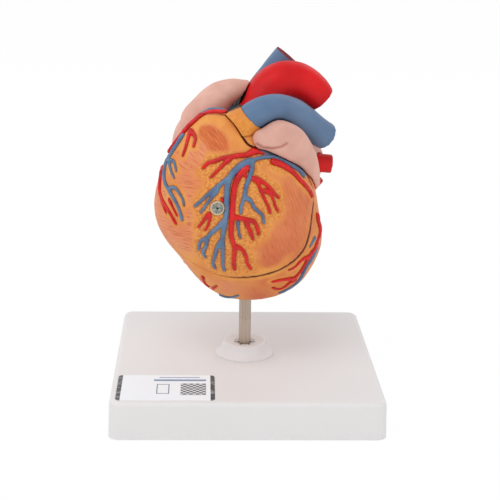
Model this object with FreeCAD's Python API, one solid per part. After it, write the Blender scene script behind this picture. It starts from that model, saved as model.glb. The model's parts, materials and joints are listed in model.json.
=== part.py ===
import FreeCAD, Part
import math
import os
from FreeCAD import Vector

# Human heart model in two halves, on a moulded stand with a steel rod.
# Millimetres. +Z is up, the viewer stands on the -Y side, and the origin is the middle of the
# base's underside. Everything of the heart is drawn in the heart's own frame, with heights
# measured from its tip, and is lifted onto the rod as the last step.

# ---------------------------------------------------------------- stand
BASE_WIDTH = 128.0
BASE_DEPTH = 131.0
BASE_HEIGHT = 18.0
BASE_CORNER = 5.0
BASE_INNER_CORNER = 3.0
BASE_DRAFT = 0.5
BASE_TOP_ROUND = 2.6
BASE_WALL = 2.4
BASE_TOP = 2.8
BASE_RIB = 1.8
RIB_LIFT = 1.0
BOSS_WALL = 2.5
BOSS_FLOOR = 2.0
LABEL_LENGTH = 45.5
LABEL_WIDTH = 30.5
LABEL_THICK = 0.2
LABEL_TO_SIDE = 3.3
LABEL_TO_FRONT = 3.5
COLLAR_FOOT_D = 28.8
COLLAR_TOP_D = 20.7
COLLAR_HEIGHT = 6.8
COLLAR_RIM = 0.8
COLLAR_HOLLOW = 0.8
SPIGOT_WALL = 1.6
SLEEVE_WALL = 2.2
SLEEVE_SLOTS = 6
SLOT_WIDTH = 1.1
SLOT_DEPTH = 9.0
SLEEVE_DROP = 1.0
ROD_D = 6.0
ROD_FREE = 23.7
ROD_IN_HEART = 18.0
FLUTES = 16
FLUTE_D = 0.5
FLUTE_LENGTH = 12.0
ROD_CHAMFER = 0.5
RUNNING_FIT = 0.06
PRESS_FIT = 0.02
CLEAR = 0.3
CRUMB = 0.001
FAR = 120.0

# ---------------------------------------------------------------- heart
WALL = 4.5
SEPTUM = 9.0
CHAMBER_FLOOR = 18.0
CHAMBER_TOP = 88.0
FLOOR_ROUND = 12.0
FLOOR_STEPS = (0.0, 1.0, 4.0, 8.0)
FLOOR_FLAT = 0.3
SECTION_POWER = 2.25
SECTION_POINTS = 24
SECTION_EDGE = 0.995
EGG_TURNS = (-84, -72, -56, -38, -19, 0, 19, 38, 56, 72, 84)
LIMB_POINTS = 10
DOME_TURNS = (30, 55, 75)
NUDGE = 0.5
STRAND_POINTS = 8
STRAND_STEP = 3.0
STRAND_TIP = 0.6
BUSH_WALL = 1.9
BUSH_CAP = 2.0
PEG_D = 4.0
PEG_HEAD_D = 6.7
PEG_HEAD = 1.8
PEG_PROUD = 0.5
PEG_X = -14.7
PEG_H = 53.3
PEG_INSET = 10.0
PEG_TAIL_GAP = 1.0
PEG_BUSH_WALL = 1.4
PEG_BUSH_BACK = 1.5
PEG_BOSS_D = 12.5
VESSEL_WALL = 1.8
SEAM_GAP = 0.4
SEAM_SLIP = 0.3

# Outline of the two ventricles: height above the tip, left, right, front, back and the depth at
# which the section is widest.
OUTLINE = [
    (0.0, -6.0, 8.0, -8.0, 5.0, -2.0),
    (1.5, -12.0, 15.0, -12.0, 11.0, -1.0),
    (4.5, -18.0, 22.0, -16.0, 16.0, 0.0),
    (9.0, -23.0, 27.5, -20.5, 21.0, 0.0),
    (14.5, -27.7, 31.3, -25.0, 25.0, 0.0),
    (20.5, -32.0, 34.3, -28.5, 28.0, 0.0),
    (28.5, -38.4, 36.6, -32.5, 30.0, 0.0),
    (37.5, -43.4, 36.2, -35.2, 30.0, 0.0),
    (46.5, -44.8, 34.4, -36.6, 27.5, -1.0),
    (55.5, -43.6, 32.5, -37.0, 21.5, -5.0),
    (63.5, -41.5, 29.0, -36.2, 14.5, -10.0),
    (70.5, -39.0, 22.0, -34.5, 8.0, -14.0),
    (77.5, -35.5, 13.0, -31.5, 2.0, -17.0),
    (83.5, -31.2, 7.0, -28.0, -3.0, -18.0),
    (89.5, -25.5, 2.0, -23.5, -8.0, -17.0),
    (93.5, -19.5, -3.0, -19.0, -11.0, -15.5),
    (95.0, -15.0, -8.0, -16.0, -13.0, -14.5),
]
HEART_HEIGHT = OUTLINE[-1][0]

# The seam between the halves: depth at the middle, then how it leans to the side, climbs, bows
# from side to side and twists, and how the bow and the lean change with the height.
SEAM_MIDDLE_H = 41.5
SEAM_DEPTH = -23.7
SEAM_LEAN = -0.126
SEAM_CLIMB = 0.109
SEAM_BOW = 0.0074
SEAM_TWIST = 0.0018
SEAM_BOW_CHANGE = 0.000157
SEAM_LEAN_CHANGE = 0.000108
SEAM_ACROSS = range(-60, 61, 15)
SEAM_HEIGHTS = range(-20, 121, 20)
BLOCK_LEFT = -55.0
BLOCK_FOOT = -10.0
# The upper edge of the front wall, from the outflow stump down the groove to the right side.
GROOVE = [
    (-22.0, 103.0), (-12.0, 94.0), (-7.5, 90.5), (-3.3, 84.4), (-0.4, 81.0), (3.0, 79.7),
    (8.0, 78.1), (13.0, 76.2), (18.0, 73.3), (23.4, 69.8), (27.8, 64.4), (30.8, 58.2),
    (36.5, 51.5), (60.0, 44.0),
]
LEFT_CHAMBER = (8.0, -3.0, 43.5)
LEFT_CHAMBER_RADII = (15.0, 22.0, 22.0)

COLLAR_TOP_Z = BASE_HEIGHT + COLLAR_HEIGHT
TIP_Z = COLLAR_TOP_Z + ROD_FREE
SLEEVE_BORE_D = ROD_D + 2 * RUNNING_FIT
SLEEVE_D = SLEEVE_BORE_D + 2 * SLEEVE_WALL
SPIGOT_BORE_D = SLEEVE_D + 2 * PRESS_FIT
SPIGOT_D = SPIGOT_BORE_D + 2 * SPIGOT_WALL
BOSS_BORE_D = SPIGOT_D + 2 * PRESS_FIT
BOSS_D = BOSS_BORE_D + 2 * BOSS_WALL
ROD_BOTTOM_Z = BOSS_FLOOR + RIB_LIFT
ROD_TOP_Z = TIP_Z + ROD_IN_HEART
BUSH_BORE_D = ROD_D + 2 * RUNNING_FIT
BUSH_D = BUSH_BORE_D + 2 * BUSH_WALL
BUSH_LENGTH = ROD_IN_HEART + BUSH_CAP
PEG_BUSH_BORE_D = PEG_D + 2 * RUNNING_FIT
PEG_BUSH_D = PEG_BUSH_BORE_D + 2 * PEG_BUSH_WALL

X_AXIS = Vector(1, 0, 0)
Y_AXIS = Vector(0, 1, 0)
Z_AXIS = Vector(0, 0, 1)


# ---------------------------------------------------------------- helpers
def save(node, shape):
    """Write one node, checked first."""
    if shape.isNull() or not shape.isValid() or not shape.Solids:
        print("PROBLEM", node, shape.isNull() or shape.ShapeType)
    print(node, len(shape.Solids), "solids", round(shape.Volume, 1), "mm3")
    shape.exportStep("parts/" + node + ".step")


def save_on_heart(node, shape):
    """Lift a piece drawn in the heart's frame onto the rod, and write it."""
    placed = shape.copy()
    placed.translate(Vector(0, 0, TIP_Z))
    save(node, placed)


def group(solids):
    """Separate solids in one node."""
    return solids[0] if len(solids) == 1 else Part.makeCompound(solids)


def biggest(shape):
    """The largest solid that a cut leaves, without its crumbs."""
    return sorted(shape.Solids, key=lambda solid: solid.Volume)[-1]


def cut_by(shape, cutters):
    """The shape with each cutter taken off it in turn."""
    for cutter in cutters:
        shape = shape.cut(cutter)
    return shape


def tube(outer_d, inner_d, length, place, axis=Z_AXIS):
    return Part.makeCylinder(outer_d / 2, length, place, axis).cut(
        Part.makeCylinder(inner_d / 2, length, place, axis))


# ---------------------------------------------------------------- stand
def rounded_rectangle(width, depth, corner, height):
    half_x, half_y = width / 2, depth / 2
    corners = [(half_x, half_y, 0), (-half_x, half_y, 90),
               (-half_x, -half_y, 180), (half_x, -half_y, 270)]
    arcs = []
    for x, y, start in corners:
        middle = Vector(x - math.copysign(corner, x), y - math.copysign(corner, y), height)
        arcs.append(Part.makeCircle(corner, middle, Z_AXIS, start, start + 90))
    edges = []
    for number, arc in enumerate(arcs):
        following = arcs[(number + 1) % len(arcs)]
        edges.append(arc)
        edges.append(Part.makeLine(arc.Vertexes[-1].Point, following.Vertexes[0].Point))
    return Part.Wire(edges)


def base_block(inset, corner, height):
    """The base's drafted block, smaller all round by an inset."""
    lower = rounded_rectangle(BASE_WIDTH - 2 * inset, BASE_DEPTH - 2 * inset, corner, 0.0)
    narrow = 2 * (inset + BASE_DRAFT * height / BASE_HEIGHT)
    upper = rounded_rectangle(BASE_WIDTH - narrow, BASE_DEPTH - narrow, corner, height)
    return Part.makeLoft([lower, upper], True, True)


def base_plate():
    """A hollow moulding with a rib each way and a boss for the collar."""
    shell = base_block(0.0, BASE_CORNER, BASE_HEIGHT)
    rim = [edge for edge in shell.Edges if abs(edge.CenterOfMass.z - BASE_HEIGHT) < CLEAR]
    shell = shell.makeFillet(BASE_TOP_ROUND, rim)
    ceiling = BASE_HEIGHT - BASE_TOP
    shell = shell.cut(base_block(BASE_WALL, BASE_INNER_CORNER, ceiling))
    rib_height = ceiling - RIB_LIFT
    across = Part.makeBox(BASE_WIDTH - BASE_WALL * 2, BASE_RIB, rib_height + BASE_RIB,
                          Vector(BASE_WALL - BASE_WIDTH / 2, -BASE_RIB / 2, RIB_LIFT))
    along = Part.makeBox(BASE_RIB, BASE_DEPTH - BASE_WALL * 2, rib_height + BASE_RIB,
                         Vector(-BASE_RIB / 2, BASE_WALL - BASE_DEPTH / 2, RIB_LIFT))
    boss = Part.makeCylinder(BOSS_D / 2, rib_height + BASE_RIB, Vector(0, 0, RIB_LIFT))
    shell = shell.fuse([across, along, boss])
    bore = Part.makeCylinder(BOSS_BORE_D / 2, BASE_HEIGHT, Vector(0, 0, ROD_BOTTOM_Z))
    return shell.cut(bore).removeSplitter()


def rod_collar():
    """A shallow cone with a hollow flank, and a spigot that is pressed into the boss."""
    foot, top = COLLAR_FOOT_D / 2, COLLAR_TOP_D / 2
    bore = SPIGOT_BORE_D / 2
    spigot = SPIGOT_D / 2
    flank = Part.Arc(Vector(foot, 0, BASE_HEIGHT + COLLAR_RIM),
                     Vector((foot + top) / 2 - COLLAR_HOLLOW / 2, 0, BASE_HEIGHT + COLLAR_HEIGHT / 2),
                     Vector(top + COLLAR_RIM / 2, 0, COLLAR_TOP_Z - COLLAR_RIM)).toShape()
    rim = Part.Arc(Vector(top + COLLAR_RIM / 2, 0, COLLAR_TOP_Z - COLLAR_RIM),
                   Vector(top, 0, COLLAR_TOP_Z - COLLAR_RIM / 3),
                   Vector(top - COLLAR_RIM, 0, COLLAR_TOP_Z)).toShape()
    corners = [(top - COLLAR_RIM, COLLAR_TOP_Z), (bore, COLLAR_TOP_Z - COLLAR_RIM),
               (bore, ROD_BOTTOM_Z), (spigot, ROD_BOTTOM_Z), (spigot, BASE_HEIGHT),
               (foot, BASE_HEIGHT), (foot, BASE_HEIGHT + COLLAR_RIM)]
    edges = [flank, rim]
    for (x0, z0), (x1, z1) in zip(corners, corners[1:]):
        edges.append(Part.makeLine(Vector(x0, 0, z0), Vector(x1, 0, z1)))
    face = Part.Face(Part.Wire(edges))
    return face.revolve(Vector(0, 0, 0), Z_AXIS, 360)


def spring_sleeve():
    """The slotted sleeve that grips the rod while it lets it turn."""
    top = COLLAR_TOP_Z - SLEEVE_DROP
    sleeve = tube(SLEEVE_D, SLEEVE_BORE_D, top - ROD_BOTTOM_Z, Vector(0, 0, ROD_BOTTOM_Z))
    slots = []
    for number in range(SLEEVE_SLOTS // 2):
        corner = Vector(-SLEEVE_D, -SLOT_WIDTH / 2, top - SLOT_DEPTH)
        slot = Part.makeBox(SLEEVE_D * 2, SLOT_WIDTH, SLOT_DEPTH, corner)
        slot.rotate(Vector(0, 0, 0), Z_AXIS, number * 360 / SLEEVE_SLOTS)
        slots.append(slot)
    return sleeve.cut(slots)


def base_label():
    corner = Vector(LABEL_TO_SIDE - BASE_WIDTH / 2, LABEL_TO_FRONT - BASE_DEPTH / 2, BASE_HEIGHT)
    return Part.makeBox(LABEL_LENGTH, LABEL_WIDTH, LABEL_THICK, corner)


def support_rod():
    """A steel rod with chamfered ends and flutes just under the heart."""
    rod = Part.makeCylinder(ROD_D / 2, ROD_TOP_Z - ROD_BOTTOM_Z, Vector(0, 0, ROD_BOTTOM_Z))
    ends = [edge for edge in rod.Edges if edge.Curve.TypeId == "Part::GeomCircle"]
    rod = rod.makeChamfer(ROD_CHAMFER, ends)
    flutes = []
    for number in range(FLUTES):
        angle = 2 * math.pi * number / FLUTES
        place = Vector(math.cos(angle), math.sin(angle), 0) * (ROD_D / 2)
        place.z = TIP_Z - FLUTE_LENGTH
        flutes.append(Part.makeCylinder(FLUTE_D / 2, FLUTE_LENGTH, place))
    return rod.cut(flutes)


# ---------------------------------------------------------------- ventricles
def slope(row, column):
    """How fast one column of the outline changes at one row, level where it turns back."""
    def rate(near, far):
        return (OUTLINE[far][column] - OUTLINE[near][column]) / (OUTLINE[far][0] - OUTLINE[near][0])

    if row == 0:
        return rate(0, 1)
    if row == len(OUTLINE) - 1:
        return rate(row - 1, row)
    below = rate(row - 1, row)
    above = rate(row, row + 1)
    return 0.0 if below * above <= 0 else 2 * below * above / (below + above)


def outline_at(height):
    """Left, right, front, back and widest depth of the ventricles at a height."""
    height = min(max(height, 0.0), HEART_HEIGHT)
    row = max(number for number in range(len(OUTLINE) - 1) if OUTLINE[number][0] <= height)
    span = OUTLINE[row + 1][0] - OUTLINE[row][0]
    t = (height - OUTLINE[row][0]) / span
    values = []
    for column in range(1, len(OUTLINE[0])):
        start, end = OUTLINE[row][column], OUTLINE[row + 1][column]
        leave, arrive = slope(row, column) * span, slope(row + 1, column) * span
        values.append((2 * t**3 - 3 * t**2 + 1) * start + (t**3 - 2 * t**2 + t) * leave
                      + (3 * t**2 - 2 * t**3) * end + (t**3 - t**2) * arrive)
    return values


def rounded(value, power):
    return math.copysign(abs(value) ** power, value)


def section(height, level, grow, shrink=1.0):
    """One level ring of the ventricles, taken at a height of the outline and laid at a level."""
    left, right, front, back, widest = outline_at(height)
    middle = (left + right) / 2
    half = (right - left) / 2 + grow
    points = []
    for step in range(SECTION_POINTS):
        angle = 2 * math.pi * step / SECTION_POINTS
        across = rounded(math.cos(angle), 2 / SECTION_POWER) * shrink
        deep = rounded(math.sin(angle), 2 / SECTION_POWER) * shrink
        reach = back - widest + grow if deep > 0 else widest - front + grow
        points.append(Vector(middle + half * across, widest + reach * deep, level))
    return points


def side_faces(side, halved):
    """A closed side as one face, or parted lengthways into two for a thin limb."""
    if not halved:
        return [side.toShape()]
    first, last, low, high = side.bounds()
    middle = (first + last) / 2
    faces = []
    for start, end in ((first, middle), (middle, last)):
        half = side.copy()
        half.segment(start, end, low, high)
        faces.append(half.toShape())
    return faces


def skin(rings, halved=False):
    """A solid whose side runs smoothly through rings of equally many points, with flat ends."""
    turns = [float(number) for number in range(len(rings[0]) + 1)]
    curves = []
    for points in rings:
        curve = Part.BSplineCurve()
        curve.interpolate(Points=points, PeriodicFlag=True, Parameters=turns)
        curves.append(curve)
    middles = [sum(points, Vector()) * (1.0 / len(points)) for points in rings]
    travel = [0.0]
    for start, end in zip(middles, middles[1:]):
        travel.append(travel[-1] + (end - start).Length)
    ribs = []
    for poles in zip(*[curve.getPoles() for curve in curves]):
        rib = Part.BSplineCurve()
        rib.interpolate(Points=list(poles), Parameters=travel)
        ribs.append(rib)
    side = Part.BSplineSurface()
    side.buildFromPolesMultsKnots([rib.getPoles() for rib in ribs],
                                  curves[0].getMultiplicities(), ribs[0].getMultiplicities(),
                                  curves[0].getKnots(), ribs[0].getKnots(),
                                  True, False, curves[0].Degree, ribs[0].Degree)
    ends = [Part.Face(Part.Wire([curve.toShape()])) for curve in (curves[0], curves[-1])]
    shell = Part.makeShell(side_faces(side, halved) + ends)
    shell.sewShape()
    solid = Part.makeSolid(shell)
    if solid.Volume < 0:
        solid.reverse()
    return solid


def ventricle_form(grow=0.0):
    """The outer form of both ventricles, grown all round by a clearance."""
    rings = []
    for row in OUTLINE:
        height = row[0]
        level = height + grow * (2 * height / HEART_HEIGHT - 1)
        rings.append(section(height, level, grow))
    return skin(rings)


def chamber_form():
    """The inner form of the wall, with a rounded floor and a rounded roof."""
    low, high = CHAMBER_FLOOR + FLOOR_ROUND, CHAMBER_TOP - FLOOR_ROUND
    heights = [CHAMBER_FLOOR + step for step in FLOOR_STEPS]
    heights += [row[0] for row in OUTLINE if low <= row[0] <= high]
    heights += [CHAMBER_TOP - step for step in reversed(FLOOR_STEPS)]
    rings = []
    for height in heights:
        near_end = min(height - CHAMBER_FLOOR, CHAMBER_TOP - height)
        rise = 1 - min((near_end + FLOOR_FLAT) / FLOOR_ROUND, 1.0)
        rings.append(section(height, height, -WALL, math.sqrt(1 - rise**2)))
    return skin(rings)


def ellipsoid(centre, radii, grow=0.0):
    """An egg of three radii, drawn as level rings."""
    across, deep, tall = [radius + grow for radius in radii]
    rings = []
    for turn in EGG_TURNS:
        share = math.cos(math.radians(turn))
        middle = Vector(*centre) + Z_AXIS * (tall * math.sin(math.radians(turn)))
        rings.append(ring(middle, X_AXIS, Y_AXIS, across * share, deep * share, SECTION_POINTS))
    return skin(rings)


def seam_depth(x, height):
    rise = height - SEAM_MIDDLE_H
    return (SEAM_DEPTH + SEAM_LEAN * x + SEAM_CLIMB * rise + SEAM_BOW * x**2 + SEAM_TWIST * x * rise
            + SEAM_BOW_CHANGE * x**2 * rise + SEAM_LEAN_CHANGE * x * rise**2)


def front_block():
    """All the space in front of the seam and below the groove, which the front wall may fill."""
    grid = [[Vector(x, seam_depth(x, h), h) for h in SEAM_HEIGHTS] for x in SEAM_ACROSS]
    surface = Part.BSplineSurface()
    surface.interpolate(grid)
    block = surface.toShape().extrude(Vector(0, -FAR, 0))
    curve = Part.BSplineCurve()
    curve.interpolate(Points=[Vector(x, -FAR, h) for x, h in GROOVE])
    first, last = curve.StartPoint, curve.EndPoint
    corners = [last, Vector(last.x, -FAR, BLOCK_FOOT), Vector(BLOCK_LEFT, -FAR, BLOCK_FOOT),
               Vector(BLOCK_LEFT, -FAR, first.z), first]
    edges = [curve.toShape()]
    for start, end in zip(corners, corners[1:]):
        edges.append(Part.makeLine(start, end))
    prism = Part.Face(Part.Wire(edges)).extrude(Vector(0, 2 * FAR, 0))
    return block.common(prism)


# ---------------------------------------------------------------- limbs
def frame_at(path, number, flat):
    """Directions of travel, across and deep at one point of a path."""
    ahead = path[min(number + 1, len(path) - 1)]
    behind = path[max(number - 1, 0)]
    travel = (ahead - behind).normalize()
    deep = (flat - travel * flat.dot(travel)).normalize()
    return travel, travel.cross(deep), deep


def ring(centre, across, deep, wide, depth, count=LIMB_POINTS):
    points = []
    for step in range(count):
        angle = 2 * math.pi * step / count
        points.append(centre + across * (wide * math.cos(angle)) + deep * (depth * math.sin(angle)))
    return points


def smooth_run(points, step):
    """Even points on the smooth curve through the given ones, each with its place in the list."""
    curve = Part.BSplineCurve()
    curve.interpolate(Points=[Vector(*point) for point in points])
    given = [curve.parameter(Vector(*point)) for point in points]
    length = curve.length()
    count = max(2, round(length / step))
    run = []
    for number in range(count + 1):
        parameter = curve.parameterAtDistance(length * number / count, curve.FirstParameter)
        before = max([0] + [place for place in range(len(given) - 1) if given[place] <= parameter])
        share = (parameter - given[before]) / (given[before + 1] - given[before])
        run.append((curve.value(parameter), before + min(max(share, 0.0), 1.0)))
    return run


def value_at(values, place):
    before = min(int(place), len(values) - 2)
    return values[before] + (values[before + 1] - values[before]) * (place - before)


def dome(path, at_end, frame, wide, deep, count):
    """Shrinking rings that close one end of a limb."""
    travel, across, depth = frame
    outward = travel if at_end else -travel
    reach = min(wide, deep)
    rings = []
    for turn in DOME_TURNS:
        share = math.cos(math.radians(turn))
        place = path[-1 if at_end else 0] + outward * (reach * math.sin(math.radians(turn)))
        rings.append(ring(place, across, depth, wide * share, deep * share, count))
    return rings


def limb(points, wide, deep=None, dome_start=False, dome_end=False, longer=0.0, step=None,
         flats=None, count=LIMB_POINTS, halved=False):
    """A round limb along the points, with a half width and half depth at each. Its deep side
    turns to the directions in flats, or to the back where none are given."""
    deep = deep or wide
    if flats is None:
        run = smooth_run(points, step or max(min(wide), min(deep)))
        path = [point for point, place in run]
        wide = [value_at(wide, place) for point, place in run]
        deep = [value_at(deep, place) for point, place in run]
        flats = [Y_AXIS] * len(path)
    else:
        path = points
    frames = [frame_at(path, number, flats[number]) for number in range(len(path))]
    if longer:
        path = [path[0] - frames[0][0] * longer] + path[1:-1] + [path[-1] + frames[-1][0] * longer]
    rings = []
    for place, (travel, across, depth), half_width, half_depth in zip(path, frames, wide, deep):
        rings.append(ring(place, across, depth, half_width, half_depth, count))
    if dome_start:
        rings = dome(path, False, frames[0], wide[0], deep[0], count)[::-1] + rings
    if dome_end:
        rings = rings + dome(path, True, frames[-1], wide[-1], deep[-1], count)
    return skin(rings, halved)


def pipe(path, radii, wall=VESSEL_WALL):
    """An open hollow vessel."""
    outer = limb(path, radii)
    inner = limb(path, [radius - wall for radius in radii], longer=1.0, step=min(radii))
    return outer.cut(inner)


def room_for(path, radii):
    """The space that a limb needs in its neighbours."""
    return limb(path, [radius + CLEAR for radius in radii], longer=1.0, step=min(radii))


def face_depth(x, height, behind=False):
    """Depth of the front or back face of the ventricles over a point."""
    left, right, front, back, widest = outline_at(height)
    share = min(abs(x - (left + right) / 2) / ((right - left) / 2), SECTION_EDGE)
    reach = (back if behind else front) - widest
    return widest + reach * (1 - share**SECTION_POWER) ** (1 / SECTION_POWER)


def face_normal(x, height, behind=False):
    """The direction out of the front or back face over a point."""
    lean = face_depth(x + NUDGE, height, behind) - face_depth(x - NUDGE, height, behind)
    climb = face_depth(x, height + NUDGE, behind) - face_depth(x, height - NUDGE, behind)
    lean, climb = lean / (2 * NUDGE), climb / (2 * NUDGE)
    normal = Vector(lean, -1, climb).normalize()
    return -normal if behind else normal


def strand(points, radius, tip=None, behind=False):
    """A vessel in relief that runs on the face of the ventricles and thins towards its tip."""
    tip = radius * STRAND_TIP if tip is None else tip
    run = smooth_run([(x, 0.0, height) for x, height in points], STRAND_STEP)
    path = [Vector(flat.x, face_depth(flat.x, flat.z, behind), flat.z) for flat, place in run]
    normals = [face_normal(flat.x, flat.z, behind) for flat, place in run]
    radii = [radius + (tip - radius) * place / (len(points) - 1) for flat, place in run]
    return limb(path, radii, flats=normals, dome_end=True, dome_start=True, count=STRAND_POINTS,
                halved=True)


# ---------------------------------------------------------------- routes in the heart's frame
CONUS_PATH = [(-10.0, -16.0, 81.0), (-6.0, -18.0, 85.8), (-3.1, -19.0, 89.1), (0.6, -19.3, 92.8)]
CONUS_WIDE = [11.0, 10.0, 8.4, 7.4]
TRUNK_PATH = [(-1.5, -19.7, 90.5), (2.6, -19.0, 93.5), (8.2, -16.5, 95.5), (14.2, -12.5, 95.2),
              (22.8, -5.0, 91.1), (30.7, 2.0, 84.4), (37.9, 7.4, 78.7)]
TRUNK_R = 6.75
RIGHT_BRANCH_PATH = [(18.0, -5.0, 91.5), (18.0, 4.0, 88.0), (13.0, 16.0, 86.5), (0.0, 24.0, 87.0),
                     (-22.0, 31.0, 88.0)]
RIGHT_BRANCH_R = 4.6
AORTA_PATH = [(-3.0, 1.0, 66.0), (-1.0, 2.0, 78.0), (2.6, 3.0, 88.4), (6.6, 5.0, 96.3), (12.3, 8.0, 103.0),
              (20.2, 10.0, 105.4), (29.0, 12.0, 102.0), (35.8, 13.5, 95.4)]
AORTA_R = [8.6, 9.2, 9.5, 9.5, 9.5, 9.3, 8.6, 7.4]
UPPER_CAVA_PATH = [(-8.7, 21.5, 78.0), (0.3, 24.8, 90.0), (9.3, 26.3, 101.8), (19.8, 26.6, 115.2)]
UPPER_CAVA_R = 6.5
LOWER_CAVA_PATH = [(-22.0, 28.0, 60.0), (-25.0, 34.0, 52.0), (-27.0, 38.5, 42.0)]
LOWER_CAVA_R = 6.0
RIGHT_AURICLE_PATH = [(-23.6, 4.0, 72.0), (-24.2, 4.0, 77.0), (-23.6, 3.5, 82.0), (-21.3, 3.0, 87.6),
                      (-17.9, 3.0, 93.4), (-13.1, 4.0, 98.4), (-5.6, 5.0, 101.7), (-1.6, 6.0, 102.6)]
RIGHT_AURICLE_WIDE = [6.4, 7.4, 8.3, 8.9, 8.3, 7.0, 4.9, 3.4]
RIGHT_AURICLE_DEEP = [8.0, 9.0, 10.0, 11.5, 12.0, 10.0, 6.0, 3.6]
RIGHT_ATRIUM = (-20.0, 18.0, 70.0)
RIGHT_ATRIUM_RADII = (19.0, 18.0, 21.0)
LEFT_AURICLE_PATH = [(5.9, -25.5, 83.0), (8.6, -24.0, 83.1), (13.0, -21.0, 82.0), (18.0, -17.5, 79.2),
                     (23.7, -13.0, 73.9), (28.0, -9.0, 67.3), (30.9, -6.0, 59.3)]
LEFT_AURICLE_WIDE = [5.2, 7.8, 9.7, 9.6, 7.8, 5.6, 3.9]
LEFT_AURICLE_DEEP = [5.2, 7.8, 9.4, 10.0, 9.5, 8.0, 5.0]
LEFT_ATRIUM = (15.0, 18.0, 64.0)
LEFT_ATRIUM_RADII = (23.5, 17.0, 17.0)
ATRIUM_WALL = 3.0
VEIN_R = 4.6
LEFT_VEIN_PATHS = [[(24.0, 12.1, 65.4), (41.9, 12.6, 63.8)], [(27.6, 20.0, 47.4), (35.5, 20.0, 56.6)]]
RIGHT_VEIN_PATHS = [[(8.0, 28.0, 71.0), (-3.0, 41.0, 76.0)], [(8.0, 28.0, 60.0), (-3.0, 41.0, 57.0)]]

# Each valve: where it sits in the groove, the way its flow enters the chamber, and its size.
TRICUSPID = dict(place=(-21.0, 9.5, 65.5), axis=(-0.2, 0.72, 0.66), radius=9.0, cusps=3)
MITRAL = dict(place=(14.0, 15.2, 58.8), axis=(0.15, 0.72, 0.68), radius=8.5, cusps=2)
AORTIC = dict(place=(-1.5, -1.0, 73.0), axis=(-0.25, 0.1, 0.96), radius=6.8, cusps=3)
PULMONARY = dict(place=(2.6, -19.0, 93.8), axis=(0.83, 0.26, 0.5), radius=4.6, cusps=3)
OUTFLOW_BORE_PATH = [(-15.0, -14.0, 74.0), (-10.5, -16.0, 80.5), (-6.0, -18.0, 85.8), (-1.5, -19.7, 90.5),
                     (2.6, -19.0, 93.8)]
OUTFLOW_BORE_R = 5.0
VALVE_FIT = 0.15
VALVE_RING = 2.6
VALVE_WALL = 1.2
VALVE_SKIRT = 6.5
VALVE_SLIT = 0.8
VALVE_NARROW = 0.45
VALVE_WAY_IN = 14.0
VALVE_WAY_OUT = 8.0
CORD_R = 0.45
CORDS_EACH = 4
MUSCLE_TAPER = (1.0, 0.85, 0.5)

# Relief vessels on the front wall: radius at the root, then points across and up.
FRONT_ARTERIES = [
    (1.9, [(2.2, 78.6), (1.2, 78.1), (-0.2, 77.4)]),
    (1.1, [(1.6, 78.2), (3.8, 77.9), (6.0, 77.2)]),
    (1.3, [(1.0, 78.2), (-0.4, 77.3), (-4.6, 76.9), (-9.2, 76.2), (-12.8, 75.7), (-16.0, 74.4),
           (-19.2, 73.4), (-21.4, 71.2)]),
    (1.0, [(-9.2, 75.4), (-11.9, 73.2), (-14.6, 70.6), (-17.8, 67.4)]),
    (1.5, [(-1.5, 71.6), (-3.8, 69.9), (-6.0, 66.4), (-7.3, 62.0), (-7.7, 57.4), (-8.1, 50.4), (-8.3, 43.2),
           (-8.1, 39.2), (-6.9, 35.2), (-6.7, 29.8), (-6.3, 22.0)]),
    (1.1, [(-6.6, 34.9), (-3.6, 33.4), (-1.7, 30.7), (-0.7, 26.9), (1.4, 22.3)]),
    (1.2, [(-7.4, 49.3), (-4.4, 48.8), (-0.7, 48.1), (2.1, 46.9), (3.5, 44.4), (4.5, 40.9)]),
    (1.2, [(-1.6, 47.4), (-0.6, 44.5), (0.8, 41.5), (1.8, 38.5)]),
    (1.0, [(0.9, 67.2), (2.7, 66.3), (4.1, 63.6), (5.5, 60.4), (6.9, 57.2), (8.4, 54.3), (9.4, 50.9)]),
    (1.0, [(1.8, 67.2), (4.5, 66.3), (6.4, 64.9), (8.7, 63.0), (10.6, 61.1), (12.0, 58.7), (13.4, 57.7)]),
    (0.9, [(6.9, 61.7), (8.7, 60.3), (10.2, 58.4), (11.1, 56.0), (13.1, 51.5)]),
    (0.9, [(-2.8, 69.0), (-1.4, 67.2)]),
    (1.6, [(10.7, 73.5), (13.5, 72.4), (16.8, 70.4), (20.1, 67.9), (22.9, 65.0), (25.9, 61.6), (28.4, 58.2),
           (29.9, 55.2)]),
    (0.9, [(-18.4, 50.4), (-19.8, 48.8), (-21.4, 46.2), (-23.3, 43.5)]),
    (0.8, [(-18.1, 49.8), (-18.3, 47.4), (-18.9, 44.9), (-20.4, 42.0)]),
    (0.8, [(-12.7, 57.7), (-12.2, 55.8)]),
    (1.3, [(-22.0, 92.9), (-24.6, 90.9), (-27.9, 88.0), (-30.6, 85.0), (-33.3, 81.6), (-35.9, 78.0),
           (-37.4, 75.6)]),
    (1.2, [(-39.4, 68.4), (-40.8, 65.0), (-41.3, 61.1), (-41.5, 57.2), (-40.9, 54.4), (-39.4, 51.8),
           (-37.5, 49.2), (-35.6, 46.3), (-33.9, 43.4)]),
    (0.8, [(-40.9, 53.2), (-39.9, 50.3), (-38.5, 47.4)]),
    (0.8, [(-37.0, 54.3), (-35.2, 51.0), (-33.4, 47.5)]),
    (1.0, [(-27.2, 86.4), (-28.0, 84.2), (-28.9, 81.4), (-29.8, 78.1), (-30.7, 75.8)]),
    (0.9, [(-26.8, 86.3), (-25.5, 84.9), (-25.0, 82.6), (-25.8, 80.1)]),
]
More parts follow.
